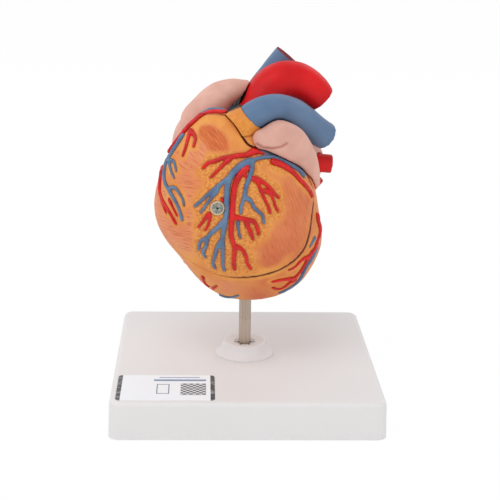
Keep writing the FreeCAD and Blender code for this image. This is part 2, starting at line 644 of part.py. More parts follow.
FRONT_VEINS = [
    (1.3, [(25.3, 65.6), (22.9, 68.1), (19.6, 70.5), (15.9, 73.0), (12.6, 74.6), (9.0, 75.6), (5.4, 75.6),
           (2.1, 75.0), (-0.1, 74.3)]),
    (1.7, [(0.6, 74.4), (-2.8, 73.3), (-5.5, 71.6), (-7.8, 69.4), (-9.6, 66.3), (-10.4, 61.8), (-10.6, 52.6),
           (-11.0, 47.8), (-11.8, 42.0), (-12.4, 35.7)]),
    (1.1, [(-12.8, 37.0), (-13.8, 35.6), (-14.9, 32.3), (-15.6, 29.0), (-16.4, 25.3), (-15.5, 21.8)]),
    (1.1, [(-12.3, 36.4), (-12.2, 34.7), (-11.9, 30.4), (-11.8, 25.9), (-11.2, 21.1)]),
    (1.1, [(-9.6, 67.2), (-12.8, 64.9), (-15.5, 62.6), (-18.2, 60.2), (-21.3, 57.2), (-25.0, 53.5)]),
    (0.9, [(-14.1, 64.0), (-15.0, 61.2), (-17.2, 58.4), (-19.0, 55.9), (-20.8, 53.0), (-22.2, 50.9)]),
    (1.2, [(-11.4, 47.6), (-13.9, 44.7), (-16.2, 42.1), (-18.9, 38.9), (-19.8, 34.0), (-21.1, 30.5),
           (-20.2, 27.8)]),
    (0.9, [(-19.4, 38.3), (-22.1, 36.4), (-23.0, 33.6), (-23.0, 31.3)]),
    (1.2, [(0.4, 74.5), (0.8, 71.5), (-0.1, 68.1), (-1.4, 64.6), (-2.3, 61.0), (-2.7, 58.3), (-3.6, 55.5),
           (-4.0, 51.2)]),
    (1.0, [(-2.2, 58.7), (0.1, 57.3), (1.9, 54.0), (4.3, 51.6), (6.2, 49.1), (6.7, 46.2)]),
    (0.8, [(-5.3, 46.9), (-5.0, 43.0), (-4.0, 39.0)]),
    (1.2, [(-30.8, 83.6), (-33.3, 79.8), (-35.9, 75.5), (-38.4, 70.6), (-39.3, 66.1), (-39.2, 62.7),
           (-37.9, 60.0), (-35.6, 56.6), (-33.4, 53.2), (-31.9, 49.7), (-31.0, 46.0)]),
    (0.8, [(-37.2, 71.8), (-36.5, 69.0), (-35.6, 66.7), (-34.7, 65.1)]),
    (0.8, [(-37.4, 72.2), (-35.2, 72.8), (-34.2, 70.5), (-33.8, 68.4)]),
    (0.8, [(-36.8, 59.9), (-33.8, 60.3), (-32.4, 58.7), (-30.6, 55.8), (-30.1, 53.0)]),
]
# Relief vessels on the rear half that run round to its front and foot.
REAR_ARTERIES = [
    (1.3, [(33.0, 44.6), (34.1, 39.8), (34.6, 35.8), (33.6, 33.4), (32.5, 30.3), (30.5, 27.6), (28.7, 24.9),
           (27.0, 21.4), (24.8, 17.4), (22.1, 14.4)]),
    (0.9, [(28.7, 25.9), (25.8, 25.2), (23.4, 22.7), (19.7, 20.5)]),
    (1.0, [(21.9, 14.8), (16.2, 15.0), (12.0, 14.3)]),
    (0.9, [(23.1, 13.6), (20.3, 12.2), (17.6, 9.6), (12.3, 10.3)]),
    (0.9, [(-21.1, 14.5), (-20.6, 10.8), (-18.2, 7.8)]),
    (0.8, [(-16.3, 7.2), (-14.5, 10.2)]),
]
REAR_VEINS = [
    (1.2, [(32.6, 29.3), (30.4, 23.8), (27.7, 18.8), (25.3, 12.6), (21.6, 8.8), (16.0, 5.8)]),
    (0.9, [(31.8, 34.6), (29.3, 31.2)]),
    (0.9, [(-12.4, 3.0), (-7.9, 2.6), (-4.1, 4.8)]),
]
# Relief vessels on the back of the rear half.
BACK_ARTERIES = [
    (1.4, [(-12.0, 50.0), (-8.0, 47.0), (-5.5, 40.0), (-4.0, 31.0), (-3.0, 22.0), (-2.0, 13.0)]),
    (0.9, [(-6.0, 42.0), (-12.0, 38.0), (-17.0, 32.0), (-20.0, 25.0)]),
    (0.9, [(-4.5, 34.0), (3.0, 29.0), (8.0, 23.0), (10.0, 17.0)]),
    (1.2, [(31.0, 47.0), (28.0, 38.0), (25.0, 29.0), (20.0, 20.0)]),
    (0.8, [(-3.0, 25.0), (-9.0, 20.0), (-12.0, 14.0)]),
]
BACK_VEINS = [
    (1.9, [(19.5, 44.2), (16.0, 43.7), (12.0, 43.5), (2.0, 44.0), (-6.0, 46.0)]),
    (1.4, [(-1.5, 44.0), (-1.5, 38.0), (-0.5, 31.0), (0.5, 22.0), (2.0, 12.0)]),
    (1.1, [(14.0, 43.0), (15.0, 38.0), (14.0, 32.0), (16.0, 25.0)]),
    (0.9, [(-1.0, 36.0), (5.0, 33.0), (9.0, 28.0)]),
    (1.0, [(-15.0, 45.0), (-21.0, 39.5), (-26.0, 33.0), (-27.0, 25.0)]),
]
# The roots of the right coronary artery and its vein lie behind the top edge of the front wall.
GROOVE_ARTERY_R = (1.3, 1.2)
GROOVE_VEIN_R = (1.0, 0.8)
GROOVE_ARTERY = [(-11.3, -17.4, 94.1), (-14.4, -17.0, 94.2), (-17.7, -16.2, 93.9), (-20.4, -15.3, 92.9),
                 (-22.4, -14.6, 91.9)]
GROOVE_VEIN = [(-12.1, -16.0, 94.8), (-14.4, -15.7, 95.1), (-16.9, -15.2, 95.2), (-20.0, -14.4, 94.1),
               (-22.4, -13.6, 92.7)]
# Papillary muscles of each chamber: foot, tip and radius.
RIGHT_MUSCLES = [((-27.0, -6.0, 21.0), (-23.0, -1.0, 45.0), 4.2),
                 ((-20.0, 12.0, 21.0), (-20.5, 7.0, 46.0), 3.6)]
LEFT_MUSCLES = [((3.0, -6.0, 25.0), (7.0, 0.0, 43.0), 4.2),
                ((17.0, 5.0, 28.5), (15.0, 5.0, 43.0), 3.8)]


def valve_frame(valve):
    """The valve's middle, its axis towards the chamber behind it, and a direction across it."""
    axis = Vector(*valve["axis"]).normalize()
    across = X_AXIS - axis * X_AXIS.dot(axis)
    return Vector(*valve["place"]), axis, across.normalize()


def valve_solid(valve):
    """A ring with a skirt of cusps that hangs down the flow, slit between the cusps."""
    place, axis, across = valve_frame(valve)
    radius = valve["radius"]
    half = VALVE_RING / 2
    foot_of_ring = place - axis * half
    band = tube(2 * radius, 2 * (radius - VALVE_WALL), VALVE_RING, foot_of_ring, axis)
    top, foot = radius - VALVE_WALL / 2, radius * VALVE_NARROW
    start = place + axis * half / 2
    length = VALVE_SKIRT + half
    skirt = Part.makeCone(top, foot, length, start, -axis).cut(
        Part.makeCone(top - VALVE_WALL, foot - VALVE_WALL, length, start, -axis))
    turned = FreeCAD.Rotation(across, axis.cross(across), -axis, "ZXY")
    slits = []
    for number in range(valve["cusps"]):
        slit = Part.makeBox(radius, VALVE_SLIT, length, Vector(0, -VALVE_SLIT / 2, 0))
        slit.Placement = FreeCAD.Placement(foot_of_ring, turned)
        slit.rotate(place, axis, 360 / valve["cusps"] * number)
        slits.append(slit)
    return band.fuse(skirt.cut(slits))


def valve_bore(valve):
    """The seat of a valve's ring, and the way from it into the chamber."""
    place, axis, across = valve_frame(valve)
    foot_of_ring = place - axis * VALVE_RING / 2
    seat = Part.makeCylinder(valve["radius"] + VALVE_FIT, VALVE_RING + 2 * VALVE_WAY_OUT, foot_of_ring, axis)
    way = Part.makeCylinder(valve["radius"] - VALVE_FIT, VALVE_WAY_IN, foot_of_ring, -axis)
    return [seat, way]


def strands(table, behind=False):
    return [strand(points, radius, behind=behind) for radius, points in table]


def cut_where_needed(solid, cut):
    """The cut solid, or the whole one where the cut takes nothing off it."""
    return solid if cut.Volume > solid.Volume * (1 - CRUMB) else biggest(cut)


def route_strand(points, ends, grow=0.0):
    """A vessel that runs through the groove, with a radius at either end."""
    root, tip = ends[0] + grow, ends[1] + grow
    radii = [root + (tip - root) * number / (len(points) - 1) for number in range(len(points))]
    return limb(points, radii, dome_start=True, dome_end=True, halved=True)


def right_chamber():
    """The right hollow: the wall's inner form without the left side and the peg's boss."""
    left_side = Part.makeBox(FAR, 2 * FAR, FAR, Vector(LEFT_CHAMBER[0], -FAR, 0.0))
    left_wall = ellipsoid(LEFT_CHAMBER, LEFT_CHAMBER_RADII, SEPTUM)
    boss = Part.makeCylinder(PEG_BOSS_D / 2, FAR, Vector(PEG_X, -FAR / 2, PEG_H), Y_AXIS)
    return biggest(chamber_form().cut(left_side).cut(left_wall).cut(boss))


def papillary(muscles):
    solids = []
    for foot, tip, radius in muscles:
        middle = tuple((foot[axis] + tip[axis]) / 2 for axis in range(3))
        radii = [radius * share for share in MUSCLE_TAPER]
        solids.append(limb([foot, middle, tip], radii, dome_start=True, dome_end=True))
    return solids


def cords(muscles, valve):
    """Tendinous cords from each muscle's tip to the edge of the valve's skirt."""
    place, axis, across = valve_frame(valve)
    other = axis.cross(across)
    reach = valve["radius"] * VALVE_NARROW - VALVE_WALL / 2
    solids = []
    for number, (foot, tip, radius) in enumerate(muscles):
        for turn in range(CORDS_EACH):
            angle = 2 * math.pi * (turn + number / 2) / CORDS_EACH
            edge = (across * math.cos(angle) + other * math.sin(angle)) * reach
            run = place - axis * VALVE_SKIRT + edge - Vector(*tip)
            solids.append(Part.makeCylinder(CORD_R, run.Length, Vector(*tip), run))
    return solids


# ---------------------------------------------------------------- pieces of the stand
def build_stand():
    save("base_plate", base_plate())
    save("rod_collar", rod_collar())
    save("spring_sleeve", spring_sleeve())
    save("base_label", base_label())
    save("support_rod", support_rod())


# ---------------------------------------------------------------- pieces of the heart
def even(path, radius):
    return [radius] * len(path)


def peg_cylinder(diameter, start_y, length):
    """A cylinder on the locating peg's axis, from a depth towards the back."""
    return Part.makeCylinder(diameter / 2, length, Vector(PEG_X, start_y, PEG_H), Y_AXIS)


def shared_forms():
    """The forms that more than one piece is cut with."""
    block = front_block()
    slipped = block.copy()
    slipped.translate(Vector(-SEAM_SLIP, -SEAM_GAP, -SEAM_SLIP))
    veins = LEFT_VEIN_PATHS + RIGHT_VEIN_PATHS
    return {
        "form": ventricle_form(),
        "form_room": ventricle_form(CLEAR),
        "block": block,
        "slipped": slipped,
        "hollows": [right_chamber(), ellipsoid(LEFT_CHAMBER, LEFT_CHAMBER_RADII)],
        "outflow": limb(OUTFLOW_BORE_PATH, even(OUTFLOW_BORE_PATH, OUTFLOW_BORE_R)),
        "trunk": limb(TRUNK_PATH, even(TRUNK_PATH, TRUNK_R)),
        "trunk_room": room_for(TRUNK_PATH, even(TRUNK_PATH, TRUNK_R)),
        "conus_room": limb(CONUS_PATH, [wide + CLEAR for wide in CONUS_WIDE]),
        "aorta_room": room_for(AORTA_PATH, AORTA_R),
        "branch_room": room_for(RIGHT_BRANCH_PATH, even(RIGHT_BRANCH_PATH, RIGHT_BRANCH_R)),
        "upper_cava_room": room_for(UPPER_CAVA_PATH, even(UPPER_CAVA_PATH, UPPER_CAVA_R)),
        "lower_cava_room": room_for(LOWER_CAVA_PATH, even(LOWER_CAVA_PATH, LOWER_CAVA_R)),
        "vein_rooms": [room_for(path, even(path, VEIN_R)) for path in veins],
        "right_atrium_room": ellipsoid(RIGHT_ATRIUM, RIGHT_ATRIUM_RADII, CLEAR),
        "left_atrium_room": ellipsoid(LEFT_ATRIUM, LEFT_ATRIUM_RADII, CLEAR),
    }


def rear_heart(shared):
    cutters = list(shared["hollows"]) + [shared["outflow"]]
    cutters.append(Part.makeCylinder(BUSH_D / 2 + PRESS_FIT, BUSH_LENGTH + CLEAR, Vector(0, 0, -CLEAR)))
    seat_end = seam_depth(PEG_X, PEG_H) + PEG_INSET
    cutters.append(peg_cylinder(PEG_BUSH_D + 2 * PRESS_FIT, seat_end - FAR, FAR))
    for valve in (TRICUSPID, MITRAL, AORTIC):
        cutters.extend(valve_bore(valve))
    return biggest(cut_by(shared["form"], [shared["block"]] + cutters))


def front_wall(shared):
    head_foot = face_depth(PEG_X, PEG_H) + PEG_HEAD - PEG_PROUD
    peg_bore = peg_cylinder(PEG_D + 2 * PRESS_FIT, -FAR, 2 * FAR)
    head_bore = peg_cylinder(PEG_HEAD_D + 2 * PRESS_FIT, head_foot - FAR, FAR)
    cutters = list(shared["hollows"]) + [peg_bore, head_bore]
    return biggest(cut_by(shared["form"].common(shared["slipped"]), cutters))


def locating_peg():
    """A round head let into the front wall, and a shank that reaches into the peg bush."""
    face = face_depth(PEG_X, PEG_H)
    tail = seam_depth(PEG_X, PEG_H) + PEG_INSET - PEG_TAIL_GAP
    head = peg_cylinder(PEG_HEAD_D, face - PEG_PROUD, PEG_HEAD)
    return head.fuse(peg_cylinder(PEG_D, face, tail - face)).removeSplitter()


def peg_bush():
    start = seam_depth(PEG_X, PEG_H) + PEG_BUSH_BACK
    place = Vector(PEG_X, start, PEG_H)
    return tube(PEG_BUSH_D, PEG_BUSH_BORE_D, PEG_INSET - PEG_BUSH_BACK, place, Y_AXIS)


def rod_bush():
    """A closed bush in the heart's tip, which rests on the rod's end."""
    return Part.makeCylinder(BUSH_D / 2, BUSH_LENGTH).cut(
        Part.makeCylinder(BUSH_BORE_D / 2, ROD_IN_HEART))


def build_walls(shared):
    save_on_heart("rear_heart", rear_heart(shared))
    save_on_heart("front_wall", front_wall(shared))
    save_on_heart("locating_peg", locating_peg())
    save_on_heart("peg_bush", peg_bush())
    save_on_heart("rod_bush", rod_bush())


def front_relief(table, shared):
    """Vessels on the front wall, kept clear of the peg's head and inside the wall's space."""
    around_head = peg_cylinder(PEG_HEAD_D + 2 * CLEAR, -FAR, 2 * FAR)
    kept = []
    for solid in strands(table):
        solid = cut_where_needed(solid, solid.cut(around_head))
        kept.append(cut_where_needed(solid, solid.common(shared["slipped"])))
    return group(kept)


def root_strand(points, ends, shared):
    """A vessel of the groove that starts beside the outflow stump."""
    return biggest(route_strand(points, ends).cut(shared["conus_room"]))


def build_relief(shared):
    save_on_heart("front_coronary_arteries", front_relief(FRONT_ARTERIES, shared))
    save_on_heart("front_cardiac_veins", front_relief(FRONT_VEINS, shared))
    arteries = strands(REAR_ARTERIES) + strands(BACK_ARTERIES, True)
    arteries.append(root_strand(GROOVE_ARTERY, GROOVE_ARTERY_R, shared))
    save_on_heart("rear_coronary_arteries", group(arteries))
    veins = strands(REAR_VEINS) + strands(BACK_VEINS, True)
    veins.append(root_strand(GROOVE_VEIN, GROOVE_VEIN_R, shared))
    save_on_heart("rear_cardiac_veins", group(veins))


def build_arteries(shared):
    form_room, aorta_room = shared["form_room"], shared["aorta_room"]
    conus = cut_by(limb(CONUS_PATH, CONUS_WIDE),
                   [form_room, shared["block"], shared["trunk"], shared["outflow"]])
    save_on_heart("outflow_stump", biggest(conus))
    trunk = cut_by(pipe(TRUNK_PATH, even(TRUNK_PATH, TRUNK_R)), [form_room, aorta_room])
    save_on_heart("pulmonary_trunk", biggest(trunk))
    aorta = cut_by(pipe(AORTA_PATH, AORTA_R), [form_room, shared["conus_room"]])
    save_on_heart("aorta", biggest(aorta))
    branch = pipe(RIGHT_BRANCH_PATH, even(RIGHT_BRANCH_PATH, RIGHT_BRANCH_R))
    save_on_heart("right_pulmonary_artery",
                  biggest(cut_by(branch, [shared["trunk"], aorta_room, form_room])))


def build_veins(shared):
    form_room = shared["form_room"]
    upper = pipe(UPPER_CAVA_PATH, even(UPPER_CAVA_PATH, UPPER_CAVA_R))
    save_on_heart("superior_vena_cava", biggest(cut_by(upper, [form_room, shared["branch_room"]])))
    lower = pipe(LOWER_CAVA_PATH, even(LOWER_CAVA_PATH, LOWER_CAVA_R))
    save_on_heart("inferior_vena_cava", biggest(lower.cut(form_room)))
    left = [biggest(pipe(path, even(path, VEIN_R)).cut(form_room)) for path in LEFT_VEIN_PATHS]
    save_on_heart("left_pulmonary_veins", group(left))
    right = [pipe(path, even(path, VEIN_R)) for path in RIGHT_VEIN_PATHS]
    save_on_heart("right_pulmonary_veins", group(right))


def atrium(centre, radii, cutters):
    """A hollow egg, cut back to its neighbours."""
    hollow = ellipsoid(centre, radii).cut(ellipsoid(centre, radii, -ATRIUM_WALL))
    return biggest(cut_by(hollow, cutters))


def build_atria(shared):
    common = [shared["form_room"], shared["branch_room"], shared["aorta_room"]]
    cavae = [shared["upper_cava_room"], shared["lower_cava_room"]]
    save_on_heart("right_atrium", atrium(RIGHT_ATRIUM, RIGHT_ATRIUM_RADII, common + cavae))
    save_on_heart("left_atrium", atrium(LEFT_ATRIUM, LEFT_ATRIUM_RADII,
                                        common + [shared["right_atrium_room"]] + shared["vein_rooms"]))


def auricle(path, wide, deep, cutters):
    """A solid blunt lobe, cut back to its neighbours."""
    return biggest(cut_by(limb(path, wide, deep, dome_start=True, dome_end=True), cutters))


def build_auricles(shared):
    common = [shared["form_room"], shared["block"], shared["aorta_room"]]
    groove = [route_strand(GROOVE_ARTERY, GROOVE_ARTERY_R, CLEAR),
              route_strand(GROOVE_VEIN, GROOVE_VEIN_R, CLEAR)]
    right_room = [shared["right_atrium_room"], shared["upper_cava_room"]]
    save_on_heart("right_auricle", auricle(RIGHT_AURICLE_PATH, RIGHT_AURICLE_WIDE, RIGHT_AURICLE_DEEP,
                                           common + right_room + groove))
    left_room = [shared["left_atrium_room"], shared["trunk_room"], shared["conus_room"]]
    save_on_heart("left_auricle", auricle(LEFT_AURICLE_PATH, LEFT_AURICLE_WIDE, LEFT_AURICLE_DEEP,
                                          common + left_room + shared["vein_rooms"]))


def build_inner_parts():
    save_on_heart("tricuspid_valve", valve_solid(TRICUSPID))
    save_on_heart("mitral_valve", valve_solid(MITRAL))
    save_on_heart("aortic_valve", valve_solid(AORTIC))
    save_on_heart("pulmonary_valve", valve_solid(PULMONARY))
    save_on_heart("papillary_muscles", group(papillary(RIGHT_MUSCLES) + papillary(LEFT_MUSCLES)))
    save_on_heart("tendinous_cords", group(cords(RIGHT_MUSCLES, TRICUSPID) + cords(LEFT_MUSCLES, MITRAL)))


def build_heart():
    shared = shared_forms()
    build_walls(shared)
    build_relief(shared)
    build_arteries(shared)
    build_veins(shared)
    build_atria(shared)
    build_auricles(shared)
    build_inner_parts()


os.makedirs("parts", exist_ok=True)
build_stand()
build_heart()
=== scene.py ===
# %% [markdown]
# # A heart in two halves, on a stand
# This is a classroom model of the heart. It is a hollow cast, painted by hand, on a steel rod in a
# white plastic stand, and its front wall pulls off. The measured shapes come ready from the packed
# part, and this script gives them the surface that a painted cast has. Everything is in metres, so
# we name the millimetre and write sizes with it. We keep the box of the measured part, to print at
# the end how far the finish has moved its sides.

# %% Load the measured part
import json
import math

import bmesh
import bpy
import numpy as np
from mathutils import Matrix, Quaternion, Vector, noise
from mathutils.bvhtree import BVHTree
from mathutils.kdtree import KDTree

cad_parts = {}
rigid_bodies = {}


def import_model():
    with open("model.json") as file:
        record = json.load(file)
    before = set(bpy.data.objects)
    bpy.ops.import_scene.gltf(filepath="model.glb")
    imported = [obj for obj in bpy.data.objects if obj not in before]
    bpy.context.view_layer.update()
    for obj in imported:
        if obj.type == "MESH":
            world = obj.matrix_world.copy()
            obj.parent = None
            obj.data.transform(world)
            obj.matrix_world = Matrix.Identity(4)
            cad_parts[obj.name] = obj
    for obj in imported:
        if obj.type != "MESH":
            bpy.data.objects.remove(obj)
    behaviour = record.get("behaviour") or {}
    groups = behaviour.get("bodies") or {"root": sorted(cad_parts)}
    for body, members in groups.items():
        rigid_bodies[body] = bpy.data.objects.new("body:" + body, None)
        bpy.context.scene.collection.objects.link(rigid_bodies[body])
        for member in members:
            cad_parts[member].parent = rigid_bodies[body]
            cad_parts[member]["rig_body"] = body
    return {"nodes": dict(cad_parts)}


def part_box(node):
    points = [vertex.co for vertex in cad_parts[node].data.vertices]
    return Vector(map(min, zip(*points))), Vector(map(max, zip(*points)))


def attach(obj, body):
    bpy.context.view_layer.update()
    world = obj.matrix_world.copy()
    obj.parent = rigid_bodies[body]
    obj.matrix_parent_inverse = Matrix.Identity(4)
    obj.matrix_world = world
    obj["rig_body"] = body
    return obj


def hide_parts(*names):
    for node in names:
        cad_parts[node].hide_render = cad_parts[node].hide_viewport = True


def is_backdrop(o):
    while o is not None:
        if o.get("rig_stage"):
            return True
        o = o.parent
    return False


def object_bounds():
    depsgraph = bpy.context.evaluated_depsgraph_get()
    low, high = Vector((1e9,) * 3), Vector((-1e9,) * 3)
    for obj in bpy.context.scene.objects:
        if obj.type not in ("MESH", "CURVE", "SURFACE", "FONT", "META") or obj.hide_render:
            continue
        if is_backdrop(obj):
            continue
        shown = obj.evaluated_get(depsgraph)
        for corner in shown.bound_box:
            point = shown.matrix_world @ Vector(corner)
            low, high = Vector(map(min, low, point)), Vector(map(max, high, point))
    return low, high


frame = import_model()
measured_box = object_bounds()
MM = 0.001
print("nodes:", len(frame["nodes"]), "box:", measured_box)

# %% [markdown]
# ## The camera
# A long lens from a little above shows the model almost without perspective. We could type a
# location and three angles. Distance, height angle and side angle about a point on the rod's axis
# say the same thing in words that mean something, so the camera is placed from those.

# %% Place the camera
LOOK_AT = Vector((1.92 * MM, 0, 71.55 * MM))
CAMERA_DISTANCE = 629.4 * MM
CAMERA_ABOVE = math.radians(16.094)
CAMERA_ASIDE = math.radians(-2.279)
CAMERA_TILT = math.radians(1.017)
SENSOR = 36.0
LENS = 92.43


def direction(above, aside):
    """From the model towards a viewer at a height angle and an angle to the right of the front."""
    return Vector((math.sin(aside) * math.cos(above), -math.cos(aside) * math.cos(above), math.sin(above)))


def place_camera():
    camera = bpy.data.objects.new("camera", bpy.data.cameras.new("camera"))
    bpy.context.scene.collection.objects.link(camera)
    towards_viewer = direction(CAMERA_ABOVE, CAMERA_ASIDE)
    level = towards_viewer.to_track_quat("Z", "Y")
    tilt = Quaternion((0, 0, 1), CAMERA_TILT)
    camera.matrix_world = (level @ tilt).to_matrix().to_4x4()
    camera.location = LOOK_AT + towards_viewer * CAMERA_DISTANCE
    camera.data.sensor_width = SENSOR
    camera.data.lens = LENS
    bpy.context.scene.camera = camera
    return camera


camera = place_camera()
bpy.context.scene.view_settings.view_transform = "Standard"
print("camera at", camera.location)

# %% [markdown]
# ## Nodes in a few words
# Every finish below is a small tree of shader nodes. Typing each link takes many lines, so a few
# helpers make a node, set it and join it in one go. Colours are written as a paint chart gives
# them, from 0 to 255, and turned into the even light values that Blender works in.

# %% Helpers for materials
CHART_TOP = 255
CHART_TOE = 0.04045
CHART_TOE_SLOPE = 12.92
CHART_LIFT = 0.055
CHART_POWER = 2.4
# The Mix node's colour sockets.
MIX_FIRST, MIX_SECOND, MIX_RESULT = 6, 7, 2
PATCH_EDGES = (0.35, 0.65)
GRAIN_ENDS = (0.3, 0.7)


def chart(red, green, blue):
    """A paint chart colour as linear light, with its alpha."""
    values = []
    for value in (red, green, blue):
        share = value / CHART_TOP
        curve = ((share + CHART_LIFT) / (1 + CHART_LIFT)) ** CHART_POWER
        values.append(share / CHART_TOE_SLOPE if share <= CHART_TOE else curve)
    return (*values, 1.0)


class Finish:
    """A material with short words for its nodes."""

    def __init__(self, name, colour, roughness, specular=0.5, metallic=0.0):
        self.material = bpy.data.materials.new(name)
        self.material.use_nodes = True
        self.tree = self.material.node_tree
        self.shader = self.tree.nodes["Principled BSDF"]
        for socket, value in (("Base Color", colour), ("Roughness", roughness),
                              ("Specular IOR Level", specular), ("Metallic", metallic)):
            self.shader.inputs[socket].default_value = value

    def add(self, kind, inputs=(), **settings):
        """A node with its settings, and with values or links for its inputs."""
        made = self.tree.nodes.new("ShaderNode" + kind)
        for key, value in settings.items():
            setattr(made, key, value)
        for key, value in dict(inputs).items():
            if isinstance(value, bpy.types.NodeSocket):
                self.tree.links.new(value, made.inputs[key])
            else:
                made.inputs[key].default_value = value
        return made

    def place(self, stretch=(1, 1, 1)):
        """Where a point is on the model, stretched for a grain."""
        place = self.add("TexCoord").outputs["Object"]
        return self.add("Mapping", {"Vector": place, "Scale": stretch}).outputs["Vector"]

    def speckle(self, size, place=None, detail=3.0, roughness=0.5):
        """Soft noise with grains of about this size."""
        place = place or self.place()
        made = self.add("TexNoise", {"Vector": place, "Scale": 1 / size, "Detail": detail,
                                     "Roughness": roughness})
        return made.outputs["Fac"]

    def attribute(self, name):
        return self.add("Attribute", attribute_name=name).outputs["Fac"]

    def steps(self, factor, low, high, start=0.0, end=1.0):
        """A value moved from one range to another, and held at its ends."""
        made = self.add("MapRange", {"Value": factor, "From Min": low, "From Max": high,
                                     "To Min": start, "To Max": end})
        return made.outputs["Result"]

    def blend(self, factor, first, second):
        """The first colour, with the second one laid over it by a factor."""
        inputs = {"Factor": factor, MIX_FIRST: first, MIX_SECOND: second}
        return self.add("Mix", inputs, data_type="RGBA").outputs[MIX_RESULT]

    def over(self, share, first, second):
        """The first colour, with the second one where a stored share says so."""
        return self.blend(self.attribute(share), first, second)

    def patches(self, factor, first, second):
        """Two colours in patches with soft edges, from a noise."""
        return self.blend(self.steps(factor, *PATCH_EDGES), first, second)

    def sum(self, first, second, kind="ADD"):
        """Two values added, or joined in another way that the Math node knows."""
        return self.add("Math", {0: first, 1: second}, operation=kind).outputs[0]

    def colour(self, socket):
        self.tree.links.new(socket, self.shader.inputs["Base Color"])

    def roughness(self, grain, low, high):
        """Roughness that runs from low to high with a noise."""
        self.tree.links.new(self.steps(grain, *GRAIN_ENDS, low, high), self.shader.inputs["Roughness"])

    def bump(self, height, depth, strength=1.0):
        """Relief too fine for the mesh, as deep as given."""
        made = self.add("Bump", {"Height": height, "Distance": depth, "Strength": strength})
        self.tree.links.new(made.outputs["Normal"], self.shader.inputs["Normal"])


def speckled(name, base, rough, size, light, dark, depth=0.0, stretch=(1, 1, 1), detail=3.0):
    """Paint in two tones, from one noise that may also give the relief."""
    finish = Finish(name, base, rough)
    grain = finish.speckle(size, finish.place(stretch), detail=detail)
    finish.colour(finish.blend(grain, light, dark))
    if depth:
        finish.bump(grain, depth)
    return finish


print("colour test, mid grey:", chart(128, 128, 128)[0])

# %% [markdown]
# ## Copies of the measured shapes
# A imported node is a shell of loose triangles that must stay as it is. To give it a finish we copy
# its mesh and merge the doubles. A copy can keep its crisp edges, or it can be cast again: the
# Remesh modifier lays even small quads over the whole shape and Smooth takes the steps out, which
# also rounds every edge a little, as a cast is. Each piece then stands for its node.

# %% Helpers for pieces
nodes = frame["nodes"]
body_of_node = {name: item["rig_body"] for name, item in nodes.items()}
DOUBLES = 0.001 * MM


def meshes_of(*sources):
    """The meshes of one or more nodes in one bmesh."""
    work = bmesh.new()
    for source in sources:
        work.from_mesh(nodes[source].data)
    return work


def piece_from(work, name):
    """A new piece from a bmesh, which is then freed."""
    mesh = bpy.data.meshes.new(name)
    work.to_mesh(mesh)
    work.free()
    piece = bpy.data.objects.new(name, mesh)
    bpy.context.scene.collection.objects.link(piece)
    return piece


def copy_of(name, source):
    """A new piece with the mesh of a node, its doubles merged."""
    work = meshes_of(source)
    bmesh.ops.remove_doubles(work, verts=work.verts, dist=DOUBLES)
    piece = piece_from(work, name)
    custom = piece.data.attributes.get("custom_normal")
    if custom:
        piece.data.attributes.remove(custom)
    return piece


def settle(piece):
    """Apply a piece's modifiers to its mesh."""
    bpy.context.view_layer.update()
    shown = piece.evaluated_get(bpy.context.evaluated_depsgraph_get())
    mesh = bpy.data.meshes.new_from_object(shown)
    piece.modifiers.clear()
    piece.data = mesh


def cast_again(name, source, grain, rounds=3):
    """A copy of a node in even quads of a size, smoothed some rounds."""
    piece = copy_of(name, source)
    skin = piece.modifiers.new("skin", "REMESH")
    skin.mode = "VOXEL"
    skin.voxel_size = grain
    soft = piece.modifiers.new("soft", "SMOOTH")
    soft.factor = 0.5
    soft.iterations = rounds
    settle(piece)
    piece.data.shade_smooth()
    return piece


def crisp(piece, angle=35):
    """Smooth shading with the sharp edges kept."""
    piece.data.shade_smooth()
    piece.data.set_sharp_from_angle(angle=math.radians(angle))


def dress(piece, finish, *sources):
    """Give a piece its finish and its body, and let it stand for its nodes."""
    if finish:
        piece.data.materials.clear()
        piece.data.materials.append(finish.material)
    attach(piece, body_of_node[sources[0]])
    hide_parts(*sources)
    print(piece.name, "has", len(piece.data.polygons), "faces")
    return piece


def crisp_part(name, finish, source):
    """A dressed copy of a node, with its edges kept crisp."""
    piece = copy_of(name, source)
    crisp(piece)
    return dress(piece, finish, source)


# %% [markdown]
# ## Measuring on a mesh
# To paint fat round the vessels we have to know how far each point of the wall is from a vessel.
# A search tree answers that quickly. The answers go into the mesh as named values, one per point,
# and the materials read them back by name. We work in arrays, because a wall has many points.

# %% Helpers for points and searches
def points_of(piece):
    values = np.empty(len(piece.data.vertices) * 3, np.float32)
    piece.data.vertices.foreach_get("co", values)
    return values.reshape(-1, 3)


def normals_of(piece):
    values = np.empty(len(piece.data.vertices) * 3, np.float32)
    piece.data.vertex_normals.foreach_get("vector", values)
    return values.reshape(-1, 3)


def store(piece, name, values):
    """Keep one value per point in the mesh, under a name that materials read."""
    made = piece.data.attributes.new(name, "FLOAT", "POINT")
    made.data.foreach_set("value", np.asarray(values, np.float32))


def tree_of(*sources):
    """One search tree over the meshes of several nodes."""
    work = meshes_of(*sources)
    tree = BVHTree.FromBMesh(work)
    work.free()
    return tree


def distances(points, tree):
    """How far each point is from the nearest surface in the tree."""
    return np.array([tree.find_nearest(point)[3] for point in points.tolist()])


def first_hits(points, normals, tree, start, reach):
    """How far a ray goes from each point along its normal before it hits, at most a reach."""
    hits = []
    for point, normal in zip(points.tolist(), normals.tolist()):
        way = Vector(normal)
        hit = tree.ray_cast(Vector(point) + way * start, way, reach)
        hits.append(reach if hit[3] is None else hit[3])
    return np.array(hits)


def ease(values, low, high):
    """From 0 at low to 1 at high, with soft ends. Low may be the larger."""
    share = np.clip((np.asarray(values) - low) / (high - low), 0, 1)
    return share * share * (3 - 2 * share)


def set_points(piece, points):
    """Put a piece's points in new places."""
    piece.data.vertices.foreach_set("co", points.astype(np.float32).ravel())
    piece.data.update()


